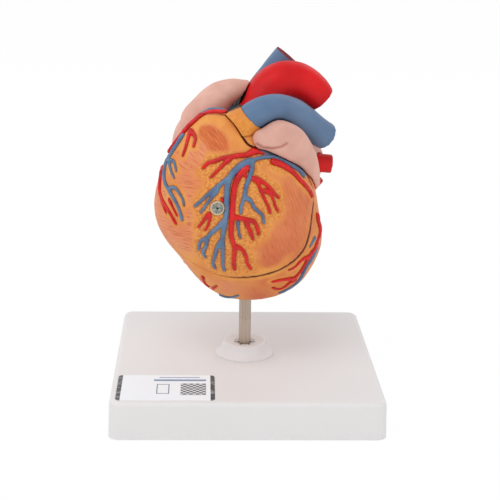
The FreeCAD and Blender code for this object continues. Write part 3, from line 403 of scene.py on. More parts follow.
def move_out(piece, heights):
    """Raise each point of a piece along its normal."""
    heights = np.asarray(heights, np.float32)[:, None]
    set_points(piece, points_of(piece) + normals_of(piece) * heights)


def wander(points, size):
    """Smooth noise between about -1 and 1 at each point, with lumps of a size."""
    return np.array([noise.noise(Vector(point) / size) for point in points.tolist()])


COBBLE_REACH = 0.62


def cobbles(points, size):
    """Round bumps from 0 to 1 at each point, of a size."""
    near = [noise.voronoi(Vector(point) / size)[0][0] for point in points.tolist()]
    return np.clip(1 - (np.array(near) / COBBLE_REACH) ** 2, 0, 1)


HEART_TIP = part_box("rear_heart")[0].z
print("heart's tip is at", round(HEART_TIP / MM, 1), "mm")

# %% [markdown]
# ## The room
# The model stands on a white table in soft light. A floor that is only white comes out grey where
# the light is weaker, so the camera sees it partly as plain white, and the rest keeps the soft
# shadow. Metal sees the same white through the glossy ray switch.

# %% Floor, light and air
FLOOR_SIZE = 12.0
WHITE_SHARE = 0.97
WORLD_LIGHT = 0.64
LAMP_SIZE = 0.7
# Each lamp's name, height and side angle, distance in metres and power in watts.
LAMPS = (("key", 58, -30, 1.1, 3.4), ("fill", 25, 48, 1.2, 1.4), ("side", 35, -80, 1.2, 1.4),
         ("back_left", 32, -145, 1.2, 1.7), ("back_right", 32, 145, 1.2, 1.7))


def plain_floor():
    work = bmesh.new()
    bmesh.ops.create_grid(work, x_segments=1, y_segments=1, size=FLOOR_SIZE / 2)
    floor = piece_from(work, "floor")
    white = Finish("floor_white", (1, 1, 1, 1), 0.9)
    ray = white.add("LightPath")
    seen = white.sum(ray.outputs["Is Camera Ray"], ray.outputs["Is Glossy Ray"], "MAXIMUM")
    seen = white.sum(seen, ray.outputs["Is Transmission Ray"], "MAXIMUM")
    glow = white.add("Emission", {"Color": (1, 1, 1, 1), "Strength": 1.0})
    flat = white.add("BsdfDiffuse", {"Color": (1, 1, 1, 1)})
    mixed = white.add("MixShader", {0: white.sum(seen, WHITE_SHARE, "MULTIPLY"),
                                    1: flat.outputs[0], 2: glow.outputs[0]})
    white.tree.links.new(mixed.outputs[0], white.tree.nodes["Material Output"].inputs["Surface"])
    floor.data.materials.append(white.material)
    floor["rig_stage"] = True


def soft_light(name, above, aside, distance, power):
    lamp = bpy.data.lights.new(name, "AREA")
    lamp.size = LAMP_SIZE
    lamp.energy = power
    holder = bpy.data.objects.new(name, lamp)
    bpy.context.scene.collection.objects.link(holder)
    way = direction(math.radians(above), math.radians(aside))
    holder.location = LOOK_AT + way * distance
    holder.rotation_euler = way.to_track_quat("Z", "Y").to_euler()


def pale_air():
    world = bpy.data.worlds.new("pale_air")
    bpy.context.scene.world = world
    world.use_nodes = True
    tree = world.node_tree
    back = tree.nodes["Background"]
    ray = tree.nodes.new("ShaderNodeLightPath")
    seen = tree.nodes.new("ShaderNodeMapRange")
    seen.inputs["To Min"].default_value = WORLD_LIGHT
    seen.inputs["To Max"].default_value = 1.0
    tree.links.new(ray.outputs["Is Camera Ray"], seen.inputs["Value"])
    tree.links.new(seen.outputs["Result"], back.inputs["Strength"])
    back.inputs["Color"].default_value = (1, 1, 1, 1)


plain_floor()
pale_air()
for lamp in LAMPS:
    soft_light(*lamp)

# %% [markdown]
# ## The stand's white plastic
# The base is one moulding of white plastic that looks faintly warm. Real moulded plastic isn't one
# flat colour: it has a fine grain and drifts a little in tone. Two noises do it, a broad weak one
# for the tone and a fine one for the grain.

# %% White plastic, base and collar
def white_plastic():
    finish = Finish("base_plastic", chart(227, 225, 225), 0.42)
    broad = finish.speckle(60 * MM, detail=2.0)
    finish.colour(finish.blend(broad, chart(224, 222, 222), chart(230, 228, 228)))
    fine = finish.speckle(0.5 * MM, detail=2.0)
    finish.roughness(fine, 0.36, 0.5)
    finish.bump(fine, 0.012 * MM)
    return finish


base_plastic = white_plastic()
for node, name in (("base_plate", "base_moulding"), ("rod_collar", "collar_moulding")):
    crisp_part(name, base_plastic, node)

# %% [markdown]
# ## Sleeve and rod
# A pale sleeve with slots grips the rod. Its slots and its bore lie in shade, so they show as a thin
# dark ring with notches in the collar's mouth. Round the bore that ring is painted shade, laid on by
# how far a point is from the rod. The rod is drawn steel with a fine lengthwise grain and shallow
# flutes under the heart. Grain is noise that is stretched along the rod.

# %% Sleeve and rod
ROD_RADIUS = (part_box("support_rod")[1].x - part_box("support_rod")[0].x) / 2
BORE_SHADE_REACH = 0.6 * MM


def sleeve_pale():
    """Pale plastic, with painted shade where it lies against the rod."""
    finish = Finish("sleeve_pale", chart(206, 200, 197), 0.45)
    fine = finish.speckle(0.4 * MM)
    tone = finish.blend(fine, chart(200, 194, 191), chart(214, 209, 206))
    away = finish.add("VectorMath", {0: finish.place((1, 1, 0))}, operation="LENGTH").outputs["Value"]
    # painted shade in a thin ring round the rod's bore
    bore_shade = finish.steps(away, ROD_RADIUS + BORE_SHADE_REACH, ROD_RADIUS + BORE_SHADE_REACH / 3)
    finish.colour(finish.blend(bore_shade, tone, chart(74, 60, 52)))
    finish.bump(fine, 0.02 * MM)
    return finish


def drawn_steel():
    finish = Finish("rod_steel", chart(190, 172, 157), 0.36, metallic=0.85)
    grain = finish.speckle(0.35 * MM, finish.place((1, 1, 0.02)), detail=4.0)
    finish.colour(finish.blend(grain, chart(164, 146, 132), chart(218, 204, 190)))
    finish.roughness(grain, 0.28, 0.46)
    finish.bump(grain, 0.015 * MM)
    return finish


for node, name, finish in (("spring_sleeve", "grip_sleeve", sleeve_pale()),
                           ("support_rod", "steel_rod", drawn_steel())):
    crisp_part(name, finish, node)

# %% [markdown]
# ## The label
# A paper label is stuck on the base. Its printing is left off, so a white field with two dark end
# bands stays, and a few plain shapes: two rules, an empty frame and a regular check. We start from
# a plate and round its corners with a bevel of the upright edges. The shapes are drawn by
# position across and along the plate, each as a box that is one inside and nothing outside.

# %% Label plate
LABEL_CORNER = 2.2 * MM
low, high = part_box("base_label")
label_middle = (low + high) / 2
label_half = (high - low) / 2


def label_plate():
    work = bmesh.new()
    bmesh.ops.create_cube(work, size=1.0)
    bmesh.ops.scale(work, vec=label_half * 2, verts=work.verts)
    upright = [edge for edge in work.edges if abs(edge.verts[0].co.z - edge.verts[1].co.z) > label_half.z]
    bmesh.ops.bevel(work, geom=upright, offset=LABEL_CORNER, segments=6, affect="EDGES", profile=0.5,
                    material=-1)
    bmesh.ops.translate(work, vec=label_middle, verts=work.verts)
    return piece_from(work, "paper_label")


print("label is", [round(half * 2 / MM, 1) for half in label_half], "mm")


# %% Label paper
BAND = (0.955, 0.0, 0.045, 1.0)
RULES = ((0.27, 0.80, 0.42, 0.03), (0.28, 0.58, 0.54, 0.07))
EMPTY_FRAME = (-0.06, -0.12, 0.13, 0.38)
FRAME_LINE = 0.02
CHECK = (0.56, -0.14, 0.26, 0.46)
CHECK_SQUARE = 1.5 * MM


def label_box(finish, across, along, box):
    """One inside a box on the label, given as shares of the half length and half width."""
    inside = []
    for value, middle, half, at, reach in ((across, label_middle.x, label_half.x, box[0], box[2]),
                                           (along, label_middle.y, label_half.y, box[1], box[3])):
        away = finish.sum(value, middle + at * half, "SUBTRACT")
        away = finish.add("Math", {0: away}, operation="ABSOLUTE").outputs[0]
        inside.append(finish.sum(away, reach * half, "LESS_THAN"))
    return finish.sum(inside[0], inside[1], "MULTIPLY")


def label_paper():
    finish = Finish("label_paper", chart(243, 247, 252), 0.3)
    place = finish.add("TexCoord").outputs["Object"]
    across, along = finish.add("SeparateXYZ", {"Vector": place}).outputs[:2]
    field = finish.blend(finish.speckle(8 * MM), chart(241, 245, 251), chart(246, 248, 252))
    squares = finish.add("TexChecker", {"Vector": place, "Scale": 1 / CHECK_SQUARE,
                                        "Color1": chart(52, 52, 54), "Color2": chart(222, 224, 228)})
    mottle = finish.speckle(1.5 * MM, finish.place((0.4, 1, 1)), detail=4.0, roughness=0.6)
    dark = finish.blend(finish.steps(mottle, 0.47, 0.66), chart(34, 34, 36), chart(168, 169, 170))
    middle = (*EMPTY_FRAME[:2], EMPTY_FRAME[2] - FRAME_LINE, EMPTY_FRAME[3] - FRAME_LINE * 2)
    marks = [(box, chart(120, 140, 172)) for box in RULES]
    marks += [(EMPTY_FRAME, chart(86, 98, 122)), (middle, chart(242, 246, 251))]
    marks += [(CHECK, squares.outputs["Color"]), (BAND, dark), ((-BAND[0], *BAND[1:]), dark)]
    for box, tone in marks:
        field = finish.blend(label_box(finish, across, along, box), field, tone)
    finish.colour(field)
    return finish


label = label_plate()
crisp(label)
dress(label, label_paper(), "base_label")

# %% [markdown]
# ## Vessels in relief
# The coronary vessels stand on the wall as rounded ridges, painted red and blue. The measured
# strands only touch where they fork. Cast again as one shape, they flow into each other as real
# branches do. A little wandering noise along the normals makes them look modelled by hand.

# %% Paint for vessels
def vessel_paint(name, light, dark, edge):
    """Satin paint that is uneven, with a dark line of painted shade where it meets the wall."""
    finish = Finish(name, light, 0.34, specular=0.4)
    broad = finish.speckle(5 * MM, detail=2.0)
    fine = finish.speckle(0.9 * MM, detail=3.0)
    tone = finish.patches(broad, light, dark)
    tone = finish.blend(finish.steps(fine, 0.58, 0.78), tone, dark)
    # the last colour is painted shade along the vessel's foot
    foot_shade = finish.steps(finish.attribute("foot_shade"), 0.0, 1.0, 0.0, 0.5)
    finish.colour(finish.blend(foot_shade, tone, edge))
    finish.roughness(fine, 0.28, 0.42)
    finish.bump(fine, 0.05 * MM)
    return finish


# Each paint's last colour is the painted shade where the vessel meets the wall.
strand_red = vessel_paint("strand_red", chart(220, 16, 16), chart(190, 10, 14), chart(120, 20, 14))
strand_blue = vessel_paint("strand_blue", chart(98, 128, 160), chart(78, 104, 138), chart(62, 62, 74))
print("paints:", strand_red.material.name, strand_blue.material.name)

# %% Relief vessels
STRAND_GRAIN = 0.36 * MM
STRAND_WAVE = 1.6 * MM
STRAND_LUMP = 0.14 * MM
STRAND_SWELL = 0.05 * MM
FOOT_SHADE_WIDTH = 0.34 * MM
FOOT_SHADE_WAVE = 3 * MM


def relief(name, finish, source, wall):
    piece = cast_again(name, source, STRAND_GRAIN)
    waves = wander(points_of(piece), STRAND_WAVE)
    move_out(piece, STRAND_LUMP * waves + STRAND_SWELL)
    points = points_of(piece)
    # a thin line of painted shade at the foot, of wavering width
    line = FOOT_SHADE_WIDTH * (0.8 + 0.5 * wander(points, FOOT_SHADE_WAVE))
    store(piece, "foot_shade", 1 - ease(distances(points, wall) / line, 0.0, 1.0))
    return dress(piece, finish, source)


front_tree = tree_of("front_wall")
rear_tree = tree_of("rear_heart")
for half, wall in (("front", front_tree), ("rear", rear_tree)):
    relief(half + "_artery_relief", strand_red, half + "_coronary_arteries", wall)
    relief(half + "_vein_relief", strand_blue, half + "_cardiac_veins", wall)

# %% [markdown]
# ## The heart's walls
# The muscle is salmon, with fine wrinkles that lie level on the left and steep on the right.
# Yellow fat lies as small grains between the middle vessels, and as a smooth golden band under the
# top edge and along the seam. The grains are real bumps in the mesh. The wrinkles are finer than
# its quads, so most of their depth is bump in the material. For each point we store how far it is
# across the wrinkles and along them, and a share for each paint. A ray sent out from each point
# tells the outer face, which sees nothing, from the cut face of the seam, which sees the other
# half at once, and from the hollows, which see their own far wall.

# %% The red oval
# Places are in mm, x across and h up from the tip. A pair says where a share is nothing and where
# it is full.
OVAL = (-16.4, 83.6)
OVAL_SIZE = (8.2, 4.9)
OVAL_TURN = math.radians(-34)
OVAL_EDGE = (1.2, 0.75)


def oval_share(x, h):
    """How far each point is from the middle of the red oval under the outflow, 1 at its edge."""
    dx, dh = x - OVAL[0], h - OVAL[1]
    along = dx * math.cos(OVAL_TURN) + dh * math.sin(OVAL_TURN)
    over = -dx * math.sin(OVAL_TURN) + dh * math.cos(OVAL_TURN)
    return np.hypot(along / OVAL_SIZE[0], over / OVAL_SIZE[1])


print("oval at", OVAL, "mm across and up from the tip")

# %% Where the wrinkles run
TILT = 0.75
TILT_HEIGHT = (60, 86)
TILT_MIDDLE = -20
STEEP_FROM = -2
STEEP_LEAN = (0.94, 0.34)
LINES_TURN = OVAL_TURN + math.radians(-14)
OVAL_REACH = 1.25


def wrinkle_places(x, h):
    """Across and along the wrinkles: level, tilted under the outflow, steep on the right."""
    right = x > STEEP_FROM
    level = h + TILT * ease(h, *TILT_HEIGHT) * (x - TILT_MIDDLE)
    across = np.where(right, STEEP_LEAN[0] * x + STEEP_LEAN[1] * h, level)
    along = np.where(right, h, x)
    in_oval = oval_share(x, h) < OVAL_REACH
    dx, dh = x - OVAL[0], h - OVAL[1]
    cosine, sine = math.cos(LINES_TURN), math.sin(LINES_TURN)
    across = np.where(in_oval, dh * cosine - dx * sine, across)
    along = np.where(in_oval, dx * cosine + dh * sine, along)
    return across, along


print("steep wrinkles from", STEEP_FROM, "mm")

# %% Fat and muscle on the front wall
CROWN = 78.4
CROWN_RISE = 0.4
CROWN_BEND = -12
CROWN_EDGE = (-1.2, 1.6)
CROWN_LEFT = (-29, -25)
CROWN_RIGHT = (8, 2)
MIDDLE_LEFT = (-28, -24.5)
MIDDLE_RIGHT = (19.5, 13)
SHIFT = 6
SHIFT_HEIGHT = (66, 77)
GRAINS_SHARE = 0.85
GRAINS_REACH = (3.9, 1.5)
AROUND_REACH = (7.5, 1.5)
BESIDE_SHARE = 0.9
BESIDE_REACH = (2.7, 1.1)
LOW_GOLD = (27, 21)
LOW_GOLD_SLOPE = 0.15
WRINKLES_FROM = (20, 30)


def front_shares(x, h, near, uneven, broad):
    """Shares of grains, golden fat, wrinkles and the oval on the front wall, all in millimetres."""
    oval = ease(oval_share(x, h) + 0.12 * uneven, *OVAL_EDGE)
    crown = ease(h - CROWN - CROWN_RISE * np.maximum(0, CROWN_BEND - x), *CROWN_EDGE)
    crown = crown * ease(x, *CROWN_LEFT) * ease(x, *CROWN_RIGHT)
    middle = ease(x - SHIFT * ease(h, *SHIFT_HEIGHT), *MIDDLE_LEFT)
    middle = middle * ease(x, *MIDDLE_RIGHT) * (1 - crown)
    grains = GRAINS_SHARE * ease(near + 0.8 * uneven, *GRAINS_REACH) * middle
    around = ease(near + 0.5 * uneven, *AROUND_REACH) * middle
    beside = BESIDE_SHARE * ease(near + uneven, *BESIDE_REACH) * (1 - middle)
    low = ease(h + LOW_GOLD_SLOPE * x + 2 * uneven, *LOW_GOLD)
    gold = np.maximum.reduce([crown, around, beside, low]) * (1 - oval)
    wrinkles = (1 - 0.8 * gold) * ease(h, *WRINKLES_FROM)
    return grains, gold, wrinkles, oval


print("golden crown from", CROWN, "mm above the tip")

# %% Fat and muscle on the rear half
REAR_GOLD = 0.42
REAR_PATCHES = 0.7
REAR_CROWN = (73, 77)
REAR_CROWN_RIGHT = (-10, -6)
REAR_SHARE = 0.85
REAR_REACH = (3.4, 1.0)
REAR_WRINKLES = 0.6


def rear_shares(x, h, near, uneven, broad):
    """The same for the rear half, which has no grains and turns golden in broad patches."""
    gold = np.clip(REAR_GOLD + REAR_PATCHES * broad + 0.12 * uneven, 0, 1)
    crown = ease(h, *REAR_CROWN) * ease(x, *REAR_CROWN_RIGHT)
    beside = REAR_SHARE * ease(near + uneven, *REAR_REACH)
    gold = np.maximum.reduce([gold, beside, crown])
    none = np.zeros(len(x))
    return none, gold, REAR_WRINKLES * (1 - gold), none


print("gold on the rear half:", REAR_GOLD)

# %% [markdown]
# ## Where two pieces meet
# Along the seam a dark line of painted shade stands for the shadow in the gap between the halves,
# and at its top right the veins' blue-grey paint runs out as a shore under the veins. Beside the
# right auricle the crown of the walls drops into a crevice. We could cut it into the mesh. Painted
# shade, dark beyond a slanting line, does the same without thin walls.

# %% The crevice beside the right auricle
CREVICE_LINE = (-10.6, 92.45)
CREVICE_SLOPE = 0.43
CREVICE_BACKWARDS = 0.175
CREVICE_FRONT = -12
CREVICE_SOFT = 1.1
CREVICE_RIGHT = (-1, -4)
CREVICE_LEFT = (CREVICE_LINE[0] - 0.8, CREVICE_LINE[0])


def beyond_crown(points):
    """Share of painted shade on each point beyond the line where the crown drops into the crevice."""
    x, y, h = points[:, 0] / MM, points[:, 1] / MM, (points[:, 2] - HEART_TIP) / MM
    line = CREVICE_LINE[1] + CREVICE_SLOPE * (x - CREVICE_LINE[0])
    over = h + CREVICE_BACKWARDS * (y - CREVICE_FRONT) - line
    return ease(over, 0.0, CREVICE_SOFT) * ease(x, *CREVICE_RIGHT) * ease(x, *CREVICE_LEFT)


print("crevice starts", CREVICE_LINE[1], "mm up")

# %% Cut faces, hollows and the outer face
CUT_REACH = 1.4 * MM
HOLLOW_REACH = 70 * MM
RAY_START = 0.2 * MM
walls_tree = tree_of("front_wall", "rear_heart")


def faces_seen(points, normals):
    """Shares of the cut faces, the hollows and the outer face, from what each point sees."""
    seen = first_hits(points, normals, walls_tree, RAY_START, HOLLOW_REACH)
    cut = ease(seen, CUT_REACH, CUT_REACH / 2)
    hollow = np.where(seen < HOLLOW_REACH, 1.0, 0.0) * (1 - cut)
    return cut, hollow, 1 - np.maximum(cut, hollow)


def near_own_outside(points, cut):
    """For the cut faces: how near each point is to the piece's outer face, in metres."""
    outside = KDTree(int(np.sum(cut < 0.5)))
    for number, point in enumerate(points[cut < 0.5].tolist()):
        outside.insert(point, number)
    outside.balance()
    return np.array([outside.find(point)[2] if share > 0.5 else 0.0
                     for point, share in zip(points.tolist(), cut.tolist())])


print("a cut face sees the other half within", CUT_REACH / MM, "mm")

# %% The seam's line, its golden band and the shore
SEAM_LINE = 0.95 * MM
SEAM_CORE = 0.36 * MM
SEAM_THIN = 0.55
SEAM_DEPTH = (1.6 * MM, 0.6 * MM)
BAND_REACH = (4.6, 1.6)
BAND_HEIGHT = (74, 66)
BAND_WEAK = (14, 24)
GROOVE_RIGHT = (1, 5)
GROOVE_HEIGHT = (50, 56)
SHORE_REACH = (2.4, 1.8)
SHORE_END = (30, 26)
WIDE_RIGHT = (-20, 2)
WIDE_TOP = (70, 78)
WIDE_TOP_RIGHT = (-16, -12)


def seam_places(x, h, beyond, uneven):
    """Shares of the golden band and the shore beside the seam, and of the seam line's width."""
    band = ease(beyond / MM + uneven, *BAND_REACH) * ease(h, *BAND_HEIGHT)
    band = band * (1 - 0.7 * ease(x, *BAND_WEAK))
    groove = ease(x, *GROOVE_RIGHT) * ease(h, *GROOVE_HEIGHT)
    shore = groove * ease(x, *SHORE_END) * ease(beyond / MM, *SHORE_REACH)
    wide = np.maximum(ease(x, *WIDE_RIGHT), ease(h, *WIDE_TOP) * ease(x, *WIDE_TOP_RIGHT))
    return band, shore, wide * (1 - 0.8 * groove)


def seam_shade_share(points, beyond, wide, cut, hollow):
    """Share of the seam's dark line of painted shade, which runs only near the outer face."""
    line = ease(beyond, SEAM_LINE * (SEAM_THIN + (1 - SEAM_THIN) * wide), SEAM_CORE) * wide
    return line * ease(near_own_outside(points, cut), *SEAM_DEPTH) * (1 - hollow)


print("the seam's dark line is", SEAM_LINE / MM, "mm wide at most")

# %% Store the zones on a wall
UNEVEN = 1.3
UNEVEN_SIZE = 4 * MM
BROAD_SIZE = 13 * MM
RIGHT_SIDE = (-6, 12)
LOW_PART = (48, 20)
FOOT_SHADE_REACH = (0.6, 0.1)
front_vessels = tree_of("front_coronary_arteries", "front_cardiac_veins")
rear_vessels = tree_of("rear_coronary_arteries", "rear_cardiac_veins")


def zones(piece, shares, vessels, other_half):
    """Store every paint's share on a wall's points, and return what shapes the relief."""
    points, normals = points_of(piece), normals_of(piece)
    x, h = points[:, 0] / MM, (points[:, 2] - HEART_TIP) / MM
    near = distances(points, vessels)
    beyond = distances(points, other_half)
    cut, hollow, outer = faces_seen(points, normals)
    uneven = UNEVEN * wander(points, UNEVEN_SIZE)
    grains, gold, wrinkles, oval = shares(x, h, near / MM, uneven, wander(points, BROAD_SIZE))
    band, shore, wide = seam_places(x, h, beyond, uneven)
    across, along = wrinkle_places(x, h)
    # Among the shares: painted shade at the vessels' foot, along the seam and in the crevice.
    paints = dict(
        across_wrinkles=across, along_wrinkles=along, wrinkles=wrinkles, grains=grains,
        gold=np.maximum(gold, band * (1 - oval)), oval=oval, cut=cut, hollow=hollow,
        seam=seam_shade_share(points, beyond, wide, cut, hollow), shore=shore * outer * (vessels is front_vessels),
        crevice=beyond_crown(points) * (vessels is rear_vessels), right=ease(x, *RIGHT_SIDE),
        low=ease(h, *LOW_PART), foot_shade=ease(near / MM + 0.15 * uneven, *FOOT_SHADE_REACH) * outer)
    for name, values in paints.items():
        store(piece, name, values)
    return points, near, outer, hollow, grains, wrinkles, across, along


# %% [markdown]
# ## Paint for the walls
# One material serves both halves, since they were painted as one. It starts from muscle, adds the
# wrinkles, lays gold and grains over it, then painted shade at the foot of the vessels, the
# blue-grey shore, the cut faces and hollows, and last painted shade along the seam and in the
# crevice. Each step is one blend with one of the stored values.

# %% Wall material
def wall_paint():
    finish = Finish("muscle", chart(222, 134, 86), 0.5, specular=0.3)
    blend, steps, over, join = finish.blend, finish.steps, finish.over, finish.sum
    share_of = finish.attribute
    place = finish.add("CombineXYZ", {"X": share_of("across_wrinkles"),
                                      "Y": share_of("along_wrinkles")}).outputs[0]
    stretched = finish.add("Mapping", {"Vector": place, "Scale": (1.0, 0.11, 1)}).outputs[0]
    lines = finish.add("TexNoise", {"Vector": stretched, "Scale": 1.5, "Detail": 3.0,
                                    "Roughness": 0.6}).outputs["Fac"]
    share = share_of("wrinkles")
    fine = finish.speckle(0.8 * MM, detail=3.0)
    broad = finish.speckle(12 * MM, detail=2.0)
    left = finish.patches(broad, chart(228, 145, 100), chart(222, 133, 86))
    right = finish.patches(broad, chart(223, 131, 82), chart(215, 118, 70))
    muscle = over("right", left, right)
    low = join(share_of("low"), share_of("right"), "MULTIPLY")
    muscle = blend(low, muscle, chart(207, 107, 66))
    muscle = over("oval", muscle, chart(209, 106, 48))
    clear = join(steps(share_of("right"), 0, 1, 1.0, 0.5), share, "MULTIPLY")
    clear = join(clear, join(share_of("oval"), 0.35, "MULTIPLY"), "ADD")
    dark = join(steps(lines, 0.53, 0.64, 0.0, 0.66), clear, "MULTIPLY")
    muscle = blend(dark, muscle, chart(182, 76, 44))
    light = join(steps(lines, 0.46, 0.36, 0.0, 0.35), clear, "MULTIPLY")
    muscle = blend(light, muscle, chart(235, 158, 108))
    gold = blend(steps(broad, 0.38, 0.62), chart(234, 160, 78), chart(225, 141, 68))
    gold = blend(steps(fine, 0.52, 0.72, 0.0, 0.4), gold, chart(211, 121, 54))
    skin = over("gold", muscle, gold)
    fat = over("bumps", chart(212, 124, 54), chart(240, 174, 88))
    skin = over("grains", skin, fat)
    # painted shade on the wall beside the foot of each relief vessel
    skin = blend(steps(share_of("foot_shade"), 0, 1, 0, 0.5), skin, chart(158, 74, 32))
    skin = over("shore", skin, chart(104, 116, 140))
    face = blend(steps(fine, 0.4, 0.6), chart(198, 106, 76), chart(214, 128, 92))
    skin = over("cut", skin, face)
    inner = finish.patches(broad, chart(206, 116, 92), chart(190, 90, 74))
    inner = blend(steps(fine, 0.5, 0.75), inner, chart(222, 150, 122))
    skin = over("hollow", skin, inner)
    # a dark line of painted shade along the seam
    skin = over("seam", skin, chart(84, 26, 8))
    # near black painted shade where the crown drops into the crevice
    finish.colour(over("crevice", skin, chart(30, 18, 12)))
    finish.roughness(fine, 0.44, 0.62)
    grooves = join(lines, share, "MULTIPLY")
    finish.bump(join(join(grooves, -1.0, "MULTIPLY"), join(fine, 0.4, "MULTIPLY")),
                0.22 * MM, 0.7)
    return finish


muscle_paint = wall_paint()
print("wall material has", len(muscle_paint.tree.nodes), "nodes")

# %% Both walls
FRONT_QUADS = 0.4 * MM
REAR_QUADS = 0.7 * MM
GRAIN_SIZE = 1.05 * MM
GRAIN_HEIGHT = 0.3 * MM
WRINKLE_HEIGHT = 0.07 * MM
WRINKLE_SPACING = 1.3
WRINKLE_STRETCH = 0.14
DENT_SIZE = 3 * MM
DENT_HEIGHT = 0.09 * MM
ROPE_SIZE = 5 * MM
ROPE_HEIGHT = 0.55 * MM
BED_REACH = (0.9 * MM, 0.2 * MM)
BED_DEPTH = 0.12 * MM


def wall(name, source, grain, shares, vessels, other_half):
    piece = cast_again(name, source, grain)
    points, near, outer, hollow, grains, wrinkles, across, along = zones(piece, shares, vessels, other_half)
    bumps = cobbles(points, GRAIN_SIZE)
    store(piece, "bumps", bumps)
    ropes = np.clip(1 - np.abs(wander(points, ROPE_SIZE)) * 3, 0, 1)
    lines = wander(np.column_stack((across, along * WRINKLE_STRETCH, across * 0)), WRINKLE_SPACING)
    heights = grains * outer * bumps * GRAIN_HEIGHT
    heights += outer * wrinkles * lines * WRINKLE_HEIGHT
    heights += outer * wander(points, DENT_SIZE) * DENT_HEIGHT
    heights += hollow * ropes * ROPE_HEIGHT
    heights -= ease(near, *BED_REACH) * outer * BED_DEPTH
    move_out(piece, heights)
    return dress(piece, muscle_paint, source)


wall("front_wall_cast", "front_wall", FRONT_QUADS, front_shares, front_vessels,
     tree_of("rear_heart", "outflow_stump"))
wall("rear_heart_cast", "rear_heart", REAR_QUADS, rear_shares, rear_vessels, tree_of("front_wall"))

# %% [markdown]
# ## The stump under the blue trunk
# Between the front wall and the blue trunk a short stump of the right chamber's outflow shows. It
# is covered in plain yellow fat, without grains.

# %% Outflow stump
def stump_paint():
    finish = Finish("outflow_fat", chart(226, 146, 60), 0.5, specular=0.3)
    broad = finish.speckle(5 * MM, detail=3.0)
    fine = finish.speckle(0.8 * MM)
    tone = finish.patches(broad, chart(232, 154, 66), chart(216, 133, 54))
    tone = finish.blend(finish.steps(fine, 0.55, 0.8), tone, chart(200, 116, 48))
    # painted shade along the seam
    tone = finish.over("seam", tone, chart(84, 26, 8))
    # painted shade in the crevice beside the right auricle
    finish.colour(finish.over("crevice", tone, chart(30, 18, 12)))
    finish.roughness(fine, 0.42, 0.6)
    finish.bump(fine, 0.1 * MM)
    return finish


STUMP_SEAM_CORE = 0.5 * MM
stump = cast_again("outflow_stump_cast", "outflow_stump", FRONT_QUADS)
# painted shade along the seam and in the crevice
store(stump, "seam", ease(distances(points_of(stump), front_tree), SEAM_LINE, STUMP_SEAM_CORE))
store(stump, "crevice", beyond_crown(points_of(stump)))
dress(stump, stump_paint(), "outflow_stump")

# %% [markdown]
# ## Great vessels
# The aorta is red and the lung artery and the great veins are blue, smooth, with satin paint. They
# are open tubes with rounded rims, and their inside is painted dark. A point on the inside sees the
# other side of its own tube close by, which tells it from the outside. The dark paint runs over the
# cut edge of the upper vein. Where two pieces touch, a thin dark line of painted shade stays, and
# the vessels in the crevice between the aorta and the right auricle get near black painted shade.

# %% Paint for great vessels
def tube_paint(name, light, dark, inside):
    finish = Finish(name, light, 0.48, specular=0.22)
    broad = finish.speckle(16 * MM, detail=2.0)
    fine = finish.speckle(1.0 * MM, detail=3.0)
    tone = finish.patches(broad, light, dark)
    tone = finish.blend(finish.steps(fine, 0.6, 0.85, 0.0, 0.5), tone, dark)
    tone = finish.over("inside", tone, inside)
    # near black painted shade in the crevice and where pieces touch
    finish.colour(finish.over("crevice", tone, chart(10, 5, 5)))
    finish.roughness(fine, 0.42, 0.56)
    finish.bump(fine, 0.04 * MM)
    return finish


tube_red = tube_paint("tube_red", chart(224, 20, 26), chart(198, 12, 20), chart(120, 20, 20))
tube_blue = tube_paint("tube_blue", chart(103, 129, 161), chart(90, 116, 148), chart(126, 24, 30))
tube_vein = tube_paint("tube_vein_red", chart(222, 34, 34), chart(202, 26, 30), chart(110, 22, 22))
print("paints:", tube_red.material.name, tube_blue.material.name, tube_vein.material.name)

# %% Where great vessels are dark
CONTACT = (1.2 * MM, 0.4 * MM)
CONTACT_SHARE = 0.7
EAR_GAP = 2.4
EAR_GAP_SOFT = 0.5
EAR_GAP_HEIGHT = (103.5, 96)
EAR_GAP_BACK = (14 * MM, 9 * MM)
DEEP_REACH = (18 * MM, 13 * MM)
DEEP_LEFT = (-12 * MM, -6 * MM)
DEEP_HEIGHT = (98.5, 93.5)
DEEP_FACING = (0.1, -0.2)
CAVA_END = Vector((19.8, 26.6, 115.2)) * MM
CAVA_WAY = Vector((10.5, 0.3, 13.4)).normalized()
CAVA_EDGE = (-1.1 * MM, -0.7 * MM)
ear_tree = tree_of("right_auricle")
left_ear_tree = tree_of("left_auricle")
trunk_tree = tree_of("pulmonary_trunk")
crevice_tree = tree_of("aorta", "right_auricle", "outflow_stump")


def touching(points, tree):
    """Share of a thin dark line of painted shade where a vessel lies against another piece."""
    return CONTACT_SHARE * ease(distances(points, tree), *CONTACT)


def in_gaps(points, normals, source):
    """Share of painted shade on each point that lies in the crevice or against a neighbour."""
    high = (points[:, 2] - HEART_TIP) / MM
    if source == "aorta":
        reach = EAR_GAP * ease(high, *EAR_GAP_HEIGHT)
        beside = ease(distances(points, ear_tree) / MM, reach + EAR_GAP_SOFT, reach)
        return np.maximum(beside * ease(points[:, 1], *EAR_GAP_BACK), touching(points, trunk_tree))
    if source == "pulmonary_trunk":
        return touching(points, left_ear_tree)
    if source not in ("superior_vena_cava", "right_pulmonary_artery"):
        return np.zeros(len(points))
    deep = ease(distances(points, crevice_tree), *DEEP_REACH) * ease(points[:, 0], *DEEP_LEFT)
    return deep * ease(high, *DEEP_HEIGHT) * ease(normals[:, 1], *DEEP_FACING)


def on_cava_edge(points):
    """Share of each point that lies at the upper vein's cut end."""
    beyond = (points - (np.array(CAVA_END) + (0, 0, HEART_TIP))) @ np.array(CAVA_WAY)
    return ease(beyond, *CAVA_EDGE)


print("a touching vessel is dark within", CONTACT[0] / MM, "mm")

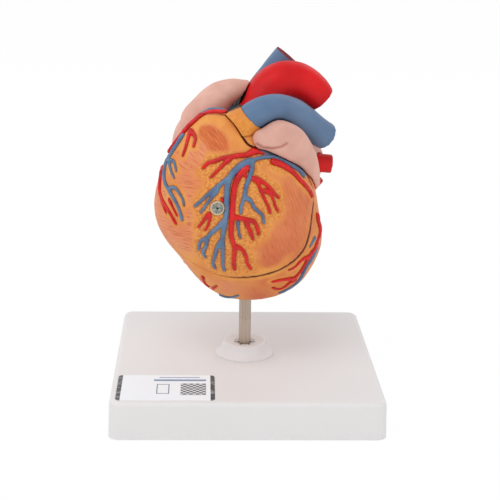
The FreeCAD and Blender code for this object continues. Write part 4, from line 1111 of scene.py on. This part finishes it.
# %% Great vessels
TUBE_GRAIN = 0.6 * MM
TUBE_ROUNDS = 4
TUBE_RAY_START = 0.3 * MM
TUBE_WAVE = 7 * MM
TUBE_LUMP = 0.12 * MM


def great_vessel(name, finish, source, widest):
    """An open tube. From its inside, a ray meets the other side within its widest measure."""
    piece = cast_again(name, source, TUBE_GRAIN, TUBE_ROUNDS)
    points, normals = points_of(piece), normals_of(piece)
    hits = first_hits(points, normals, tree_of(source), TUBE_RAY_START, widest)
    inside = np.where(hits < widest, 1.0, 0.0)
    if source == "superior_vena_cava":
        inside = np.maximum(inside, on_cava_edge(points))
    store(piece, "inside", inside)
    store(piece, "crevice", in_gaps(points, normals, source))
    move_out(piece, TUBE_LUMP * wander(points, TUBE_WAVE))
    return dress(piece, finish, source)


for name, finish, source, widest in (
        ("aorta", tube_red, "aorta", 17), ("pulmonary_trunk", tube_blue, "pulmonary_trunk", 12),
        ("right_lung_artery", tube_blue, "right_pulmonary_artery", 8),
        ("upper_cava", tube_blue, "superior_vena_cava", 12),
        ("lower_cava", tube_blue, "inferior_vena_cava", 10),
        ("left_lung_veins", tube_vein, "left_pulmonary_veins", 8),
        ("right_lung_veins", tube_vein, "right_pulmonary_veins", 8)):
    great_vessel(name + "_cast", finish, source, widest * MM)

# %% [markdown]
# ## Auricles and atria
# The ear-shaped auricles and the atria behind them are smooth and pink, like unglazed clay. A
# shallow fold crosses the left auricle. It is pressed into the mesh along a bent line, and painted
# shade darkens it. The right auricle is filled out a little at its outer side, and its atrium is
# drawn in behind it.

# %% Paint for pink parts
def pink_clay():
    finish = Finish("auricle_pink", chart(222, 170, 154), 0.62, specular=0.4)
    broad = finish.speckle(12 * MM, detail=2.0)
    fine = finish.speckle(0.7 * MM, detail=3.0)
    tone = finish.patches(broad, chart(227, 177, 160), chart(214, 162, 147))
    tone = finish.blend(finish.steps(fine, 0.58, 0.8, 0.0, 0.35), tone, chart(204, 146, 132))
    # painted shade in the fold
    finish.colour(finish.over("fold", tone, chart(186, 118, 102)))
    finish.roughness(fine, 0.55, 0.7)
    finish.bump(fine, 0.05 * MM)
    return finish


pink = pink_clay()
print("paint:", pink.material.name)

# %% Fold, bulge and slimmer side
FOLD_DEPTH = 0.5 * MM
FOLD_WIDTH = 1.0 * MM
FOLD_BACK = (-5 * MM, -12 * MM)
LEFT_FOLD = ((3.0, 81.8), (6.0, 80.0), (10.0, 79.6), (14.0, 80.6), (16.8, 82.2))
ATRIUM_MIDDLE = -20 * MM
ATRIUM_SLIMMER = 0.11
BULGE_MIDDLE = Vector((-30.5, 4, 89)) * MM
BULGE_REACH = 11 * MM
BULGE_WAY = Vector((-1.5, 0, 0.6)) * MM


def fold_depth(points, fold):
    """How deep each point lies in a fold through some places, from 0 to 1."""
    deep = np.zeros(len(points))
    flat = np.column_stack((points[:, 0], points[:, 2] - HEART_TIP)) / MM
    for start, end in zip(fold, fold[1:]):
        start, end = np.array(start), np.array(end)
        run = end - start
        share = np.clip((flat - start) @ run / (run @ run), 0, 1)
        gap = np.linalg.norm(flat - start - share[:, None] * run, axis=1) * MM
        deep = np.maximum(deep, ease(gap, FOLD_WIDTH, 0.0))
    return deep * ease(points[:, 1], *FOLD_BACK)


def press_left_side(piece):
    """Draw the atrium's left side in towards its middle, so that it lies behind the auricle."""
    points = points_of(piece)
    points[:, 0] += np.maximum(0, ATRIUM_MIDDLE - points[:, 0]) * ATRIUM_SLIMMER
    set_points(piece, points)


def fill_out(piece):
    """Push the auricle's outer side softly outwards."""
    points = points_of(piece)
    middle = np.array(BULGE_MIDDLE) + np.array((0, 0, HEART_TIP))
    share = ease(np.linalg.norm(points - middle, axis=1), BULGE_REACH, 0)
    points += (share[:, None] * np.array(BULGE_WAY)).astype(np.float32)
    set_points(piece, points)


print("fold places, in mm:", LEFT_FOLD)

# %% Pink parts
PINK_GRAIN = 0.7 * MM
PINK_ROUNDS = 5
PINK_WAVE = 8 * MM
PINK_LUMP = 0.16 * MM


def pink_part(name, source, fold=(), reshape=None):
    piece = cast_again(name, source, PINK_GRAIN, PINK_ROUNDS)
    if reshape:
        reshape(piece)
    points = points_of(piece)
    deep = fold_depth(points, fold)
    store(piece, "fold", deep)
    move_out(piece, PINK_LUMP * wander(points, PINK_WAVE) - FOLD_DEPTH * deep)
    return dress(piece, pink, source)


pink_part("right_auricle_cast", "right_auricle", reshape=fill_out)
pink_part("left_auricle_cast", "left_auricle", LEFT_FOLD)
pink_part("right_atrium_cast", "right_atrium", reshape=press_left_side)
pink_part("left_atrium_cast", "left_atrium")

# %% [markdown]
# ## The locating peg
# The peg's head is turned: a cream rim round a grey disc with a dark dimple. A profile of a few
# points, spun once round the peg's axis, makes the whole peg. Each face then takes its paint from
# how far it is from the axis.

# %% Turn the peg
low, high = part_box("locating_peg")
PEG_AXIS = Vector(((low.x + high.x) / 2, 0, (low.z + high.z) / 2))
PEG_RADIUS = (high.x - low.x) / 2
PEG_HEAD_DEEP = 1.8 * MM
PEG_SHANK = 2.0 * MM
DIMPLE = 0.5 * MM
DIMPLE_DEPTH = 1.0 * MM
DIMPLE_FLOOR = 0.1 * MM
DISC_DEPTH = 0.22 * MM
RIM = 0.75 * MM
RIM_ROUND = 0.25 * MM
TAIL_ROUND = 0.4 * MM
PEG_STEPS = 64


def peg_shape():
    face, tail = low.y, high.y
    disc, floor, shoulder = face + DISC_DEPTH, face + DIMPLE_DEPTH, face + PEG_HEAD_DEEP
    profile = [(0, floor), (DIMPLE * 0.7, floor - DIMPLE_FLOOR), (DIMPLE, disc),
               (PEG_RADIUS - RIM, disc), (PEG_RADIUS - RIM * 0.7, face),
               (PEG_RADIUS - RIM_ROUND, face), (PEG_RADIUS, face + RIM_ROUND), (PEG_RADIUS, shoulder),
               (PEG_SHANK, shoulder), (PEG_SHANK, tail - TAIL_ROUND), (PEG_SHANK - TAIL_ROUND, tail),
               (0, tail)]
    work = bmesh.new()
    row = [work.verts.new((PEG_AXIS.x + radius, depth, PEG_AXIS.z)) for radius, depth in profile]
    edges = [work.edges.new(pair) for pair in zip(row, row[1:])]
    bmesh.ops.spin(work, geom=row + edges, cent=PEG_AXIS, axis=(0, 1, 0), angle=math.tau,
                   steps=PEG_STEPS, use_merge=True, use_duplicate=False)
    bmesh.ops.remove_doubles(work, verts=work.verts, dist=DOUBLES)
    bmesh.ops.recalc_face_normals(work, faces=work.faces)
    return piece_from(work, "peg_turned")


peg = peg_shape()
crisp(peg)
print("peg has", len(peg.data.polygons), "faces")

# %% Paint the peg
CREAM, GREY, HOLE = range(3)


def peg_grey():
    finish = Finish("peg_grey", chart(134, 136, 128), 0.4)
    coarse = finish.speckle(1.1 * MM, detail=4.0, roughness=0.7)
    tone = finish.blend(finish.steps(coarse, 0.4, 0.6), chart(104, 112, 108), chart(172, 166, 152))
    teal = finish.steps(finish.speckle(2.2 * MM), 0.52, 0.62, 0.0, 0.6)
    finish.colour(finish.blend(teal, tone, chart(96, 124, 132)))
    finish.bump(coarse, 0.08 * MM)
    return finish


peg_cream = speckled("peg_cream", chart(214, 190, 158), 0.45, 0.8 * MM,
                     chart(224, 202, 172), chart(190, 160, 128), 0.03 * MM)
peg_hole = speckled("peg_hole", chart(40, 34, 30), 0.6, 0.4 * MM, chart(30, 26, 24), chart(58, 50, 44))
for finish in (peg_cream, peg_grey(), peg_hole):
    peg.data.materials.append(finish.material)
for face in peg.data.polygons:
    away = math.hypot(face.center.x - PEG_AXIS.x, face.center.z - PEG_AXIS.z)
    deep = face.center.y - low.y
    if away < DIMPLE and deep < PEG_HEAD_DEEP:
        face.material_index = HOLE
    elif away < PEG_RADIUS - RIM or deep >= PEG_HEAD_DEEP / 2:
        face.material_index = GREY
    else:
        face.material_index = CREAM
dress(peg, None, "locating_peg")

# %% [markdown]
# ## Inside the heart
# With the front wall off, the class sees valves, papillary muscles and tendinous cords, and the
# two bushes. Their measured shapes are right, so crisp copies and soft casts are enough.

# %% Inner parts
MUSCLE_QUADS = 0.5 * MM
MUSCLE_WAVE = 2.5 * MM
MUSCLE_LUMP = 0.25 * MM


def turned_brass():
    finish = Finish("bush_brass", chart(206, 170, 104), 0.34, metallic=1.0)
    grain = finish.speckle(0.5 * MM, finish.place((0.2, 0.2, 1)))
    finish.colour(finish.blend(grain, chart(214, 180, 112), chart(176, 140, 82)))
    finish.roughness(grain, 0.26, 0.42)
    return finish


cream = speckled("valve_cream", chart(226, 208, 176), 0.5, 1.2 * MM,
                 chart(232, 216, 186), chart(206, 180, 146), 0.05 * MM)
dark_red = speckled("muscle_dark", chart(196, 92, 72), 0.5, 0.9 * MM, chart(208, 108, 84),
                    chart(170, 70, 56), 0.12 * MM, stretch=(1, 1, 0.2), detail=4.0)
for source in ("tricuspid_valve", "mitral_valve", "aortic_valve", "pulmonary_valve", "tendinous_cords"):
    crisp_part(source + "_cast", cream, source)
muscles = cast_again("papillary_muscles_cast", "papillary_muscles", MUSCLE_QUADS)
move_out(muscles, MUSCLE_LUMP * wander(points_of(muscles), MUSCLE_WAVE))
dress(muscles, dark_red, "papillary_muscles")
for source, finish in (("peg_bush", peg_grey()), ("rod_bush", turned_brass())):
    crisp_part(source + "_turned", finish, source)

# %% [markdown]
# ## Finish
# Last we compare the box of what is shown with the measured one, and print how far each corner moved.

# %% Sizes
shown_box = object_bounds()
growth = [[round((now - then) / MM, 2) for now, then in zip(*corner)]
          for corner in zip(shown_box, measured_box)]
print("shown box against the measured one, in mm:", growth)
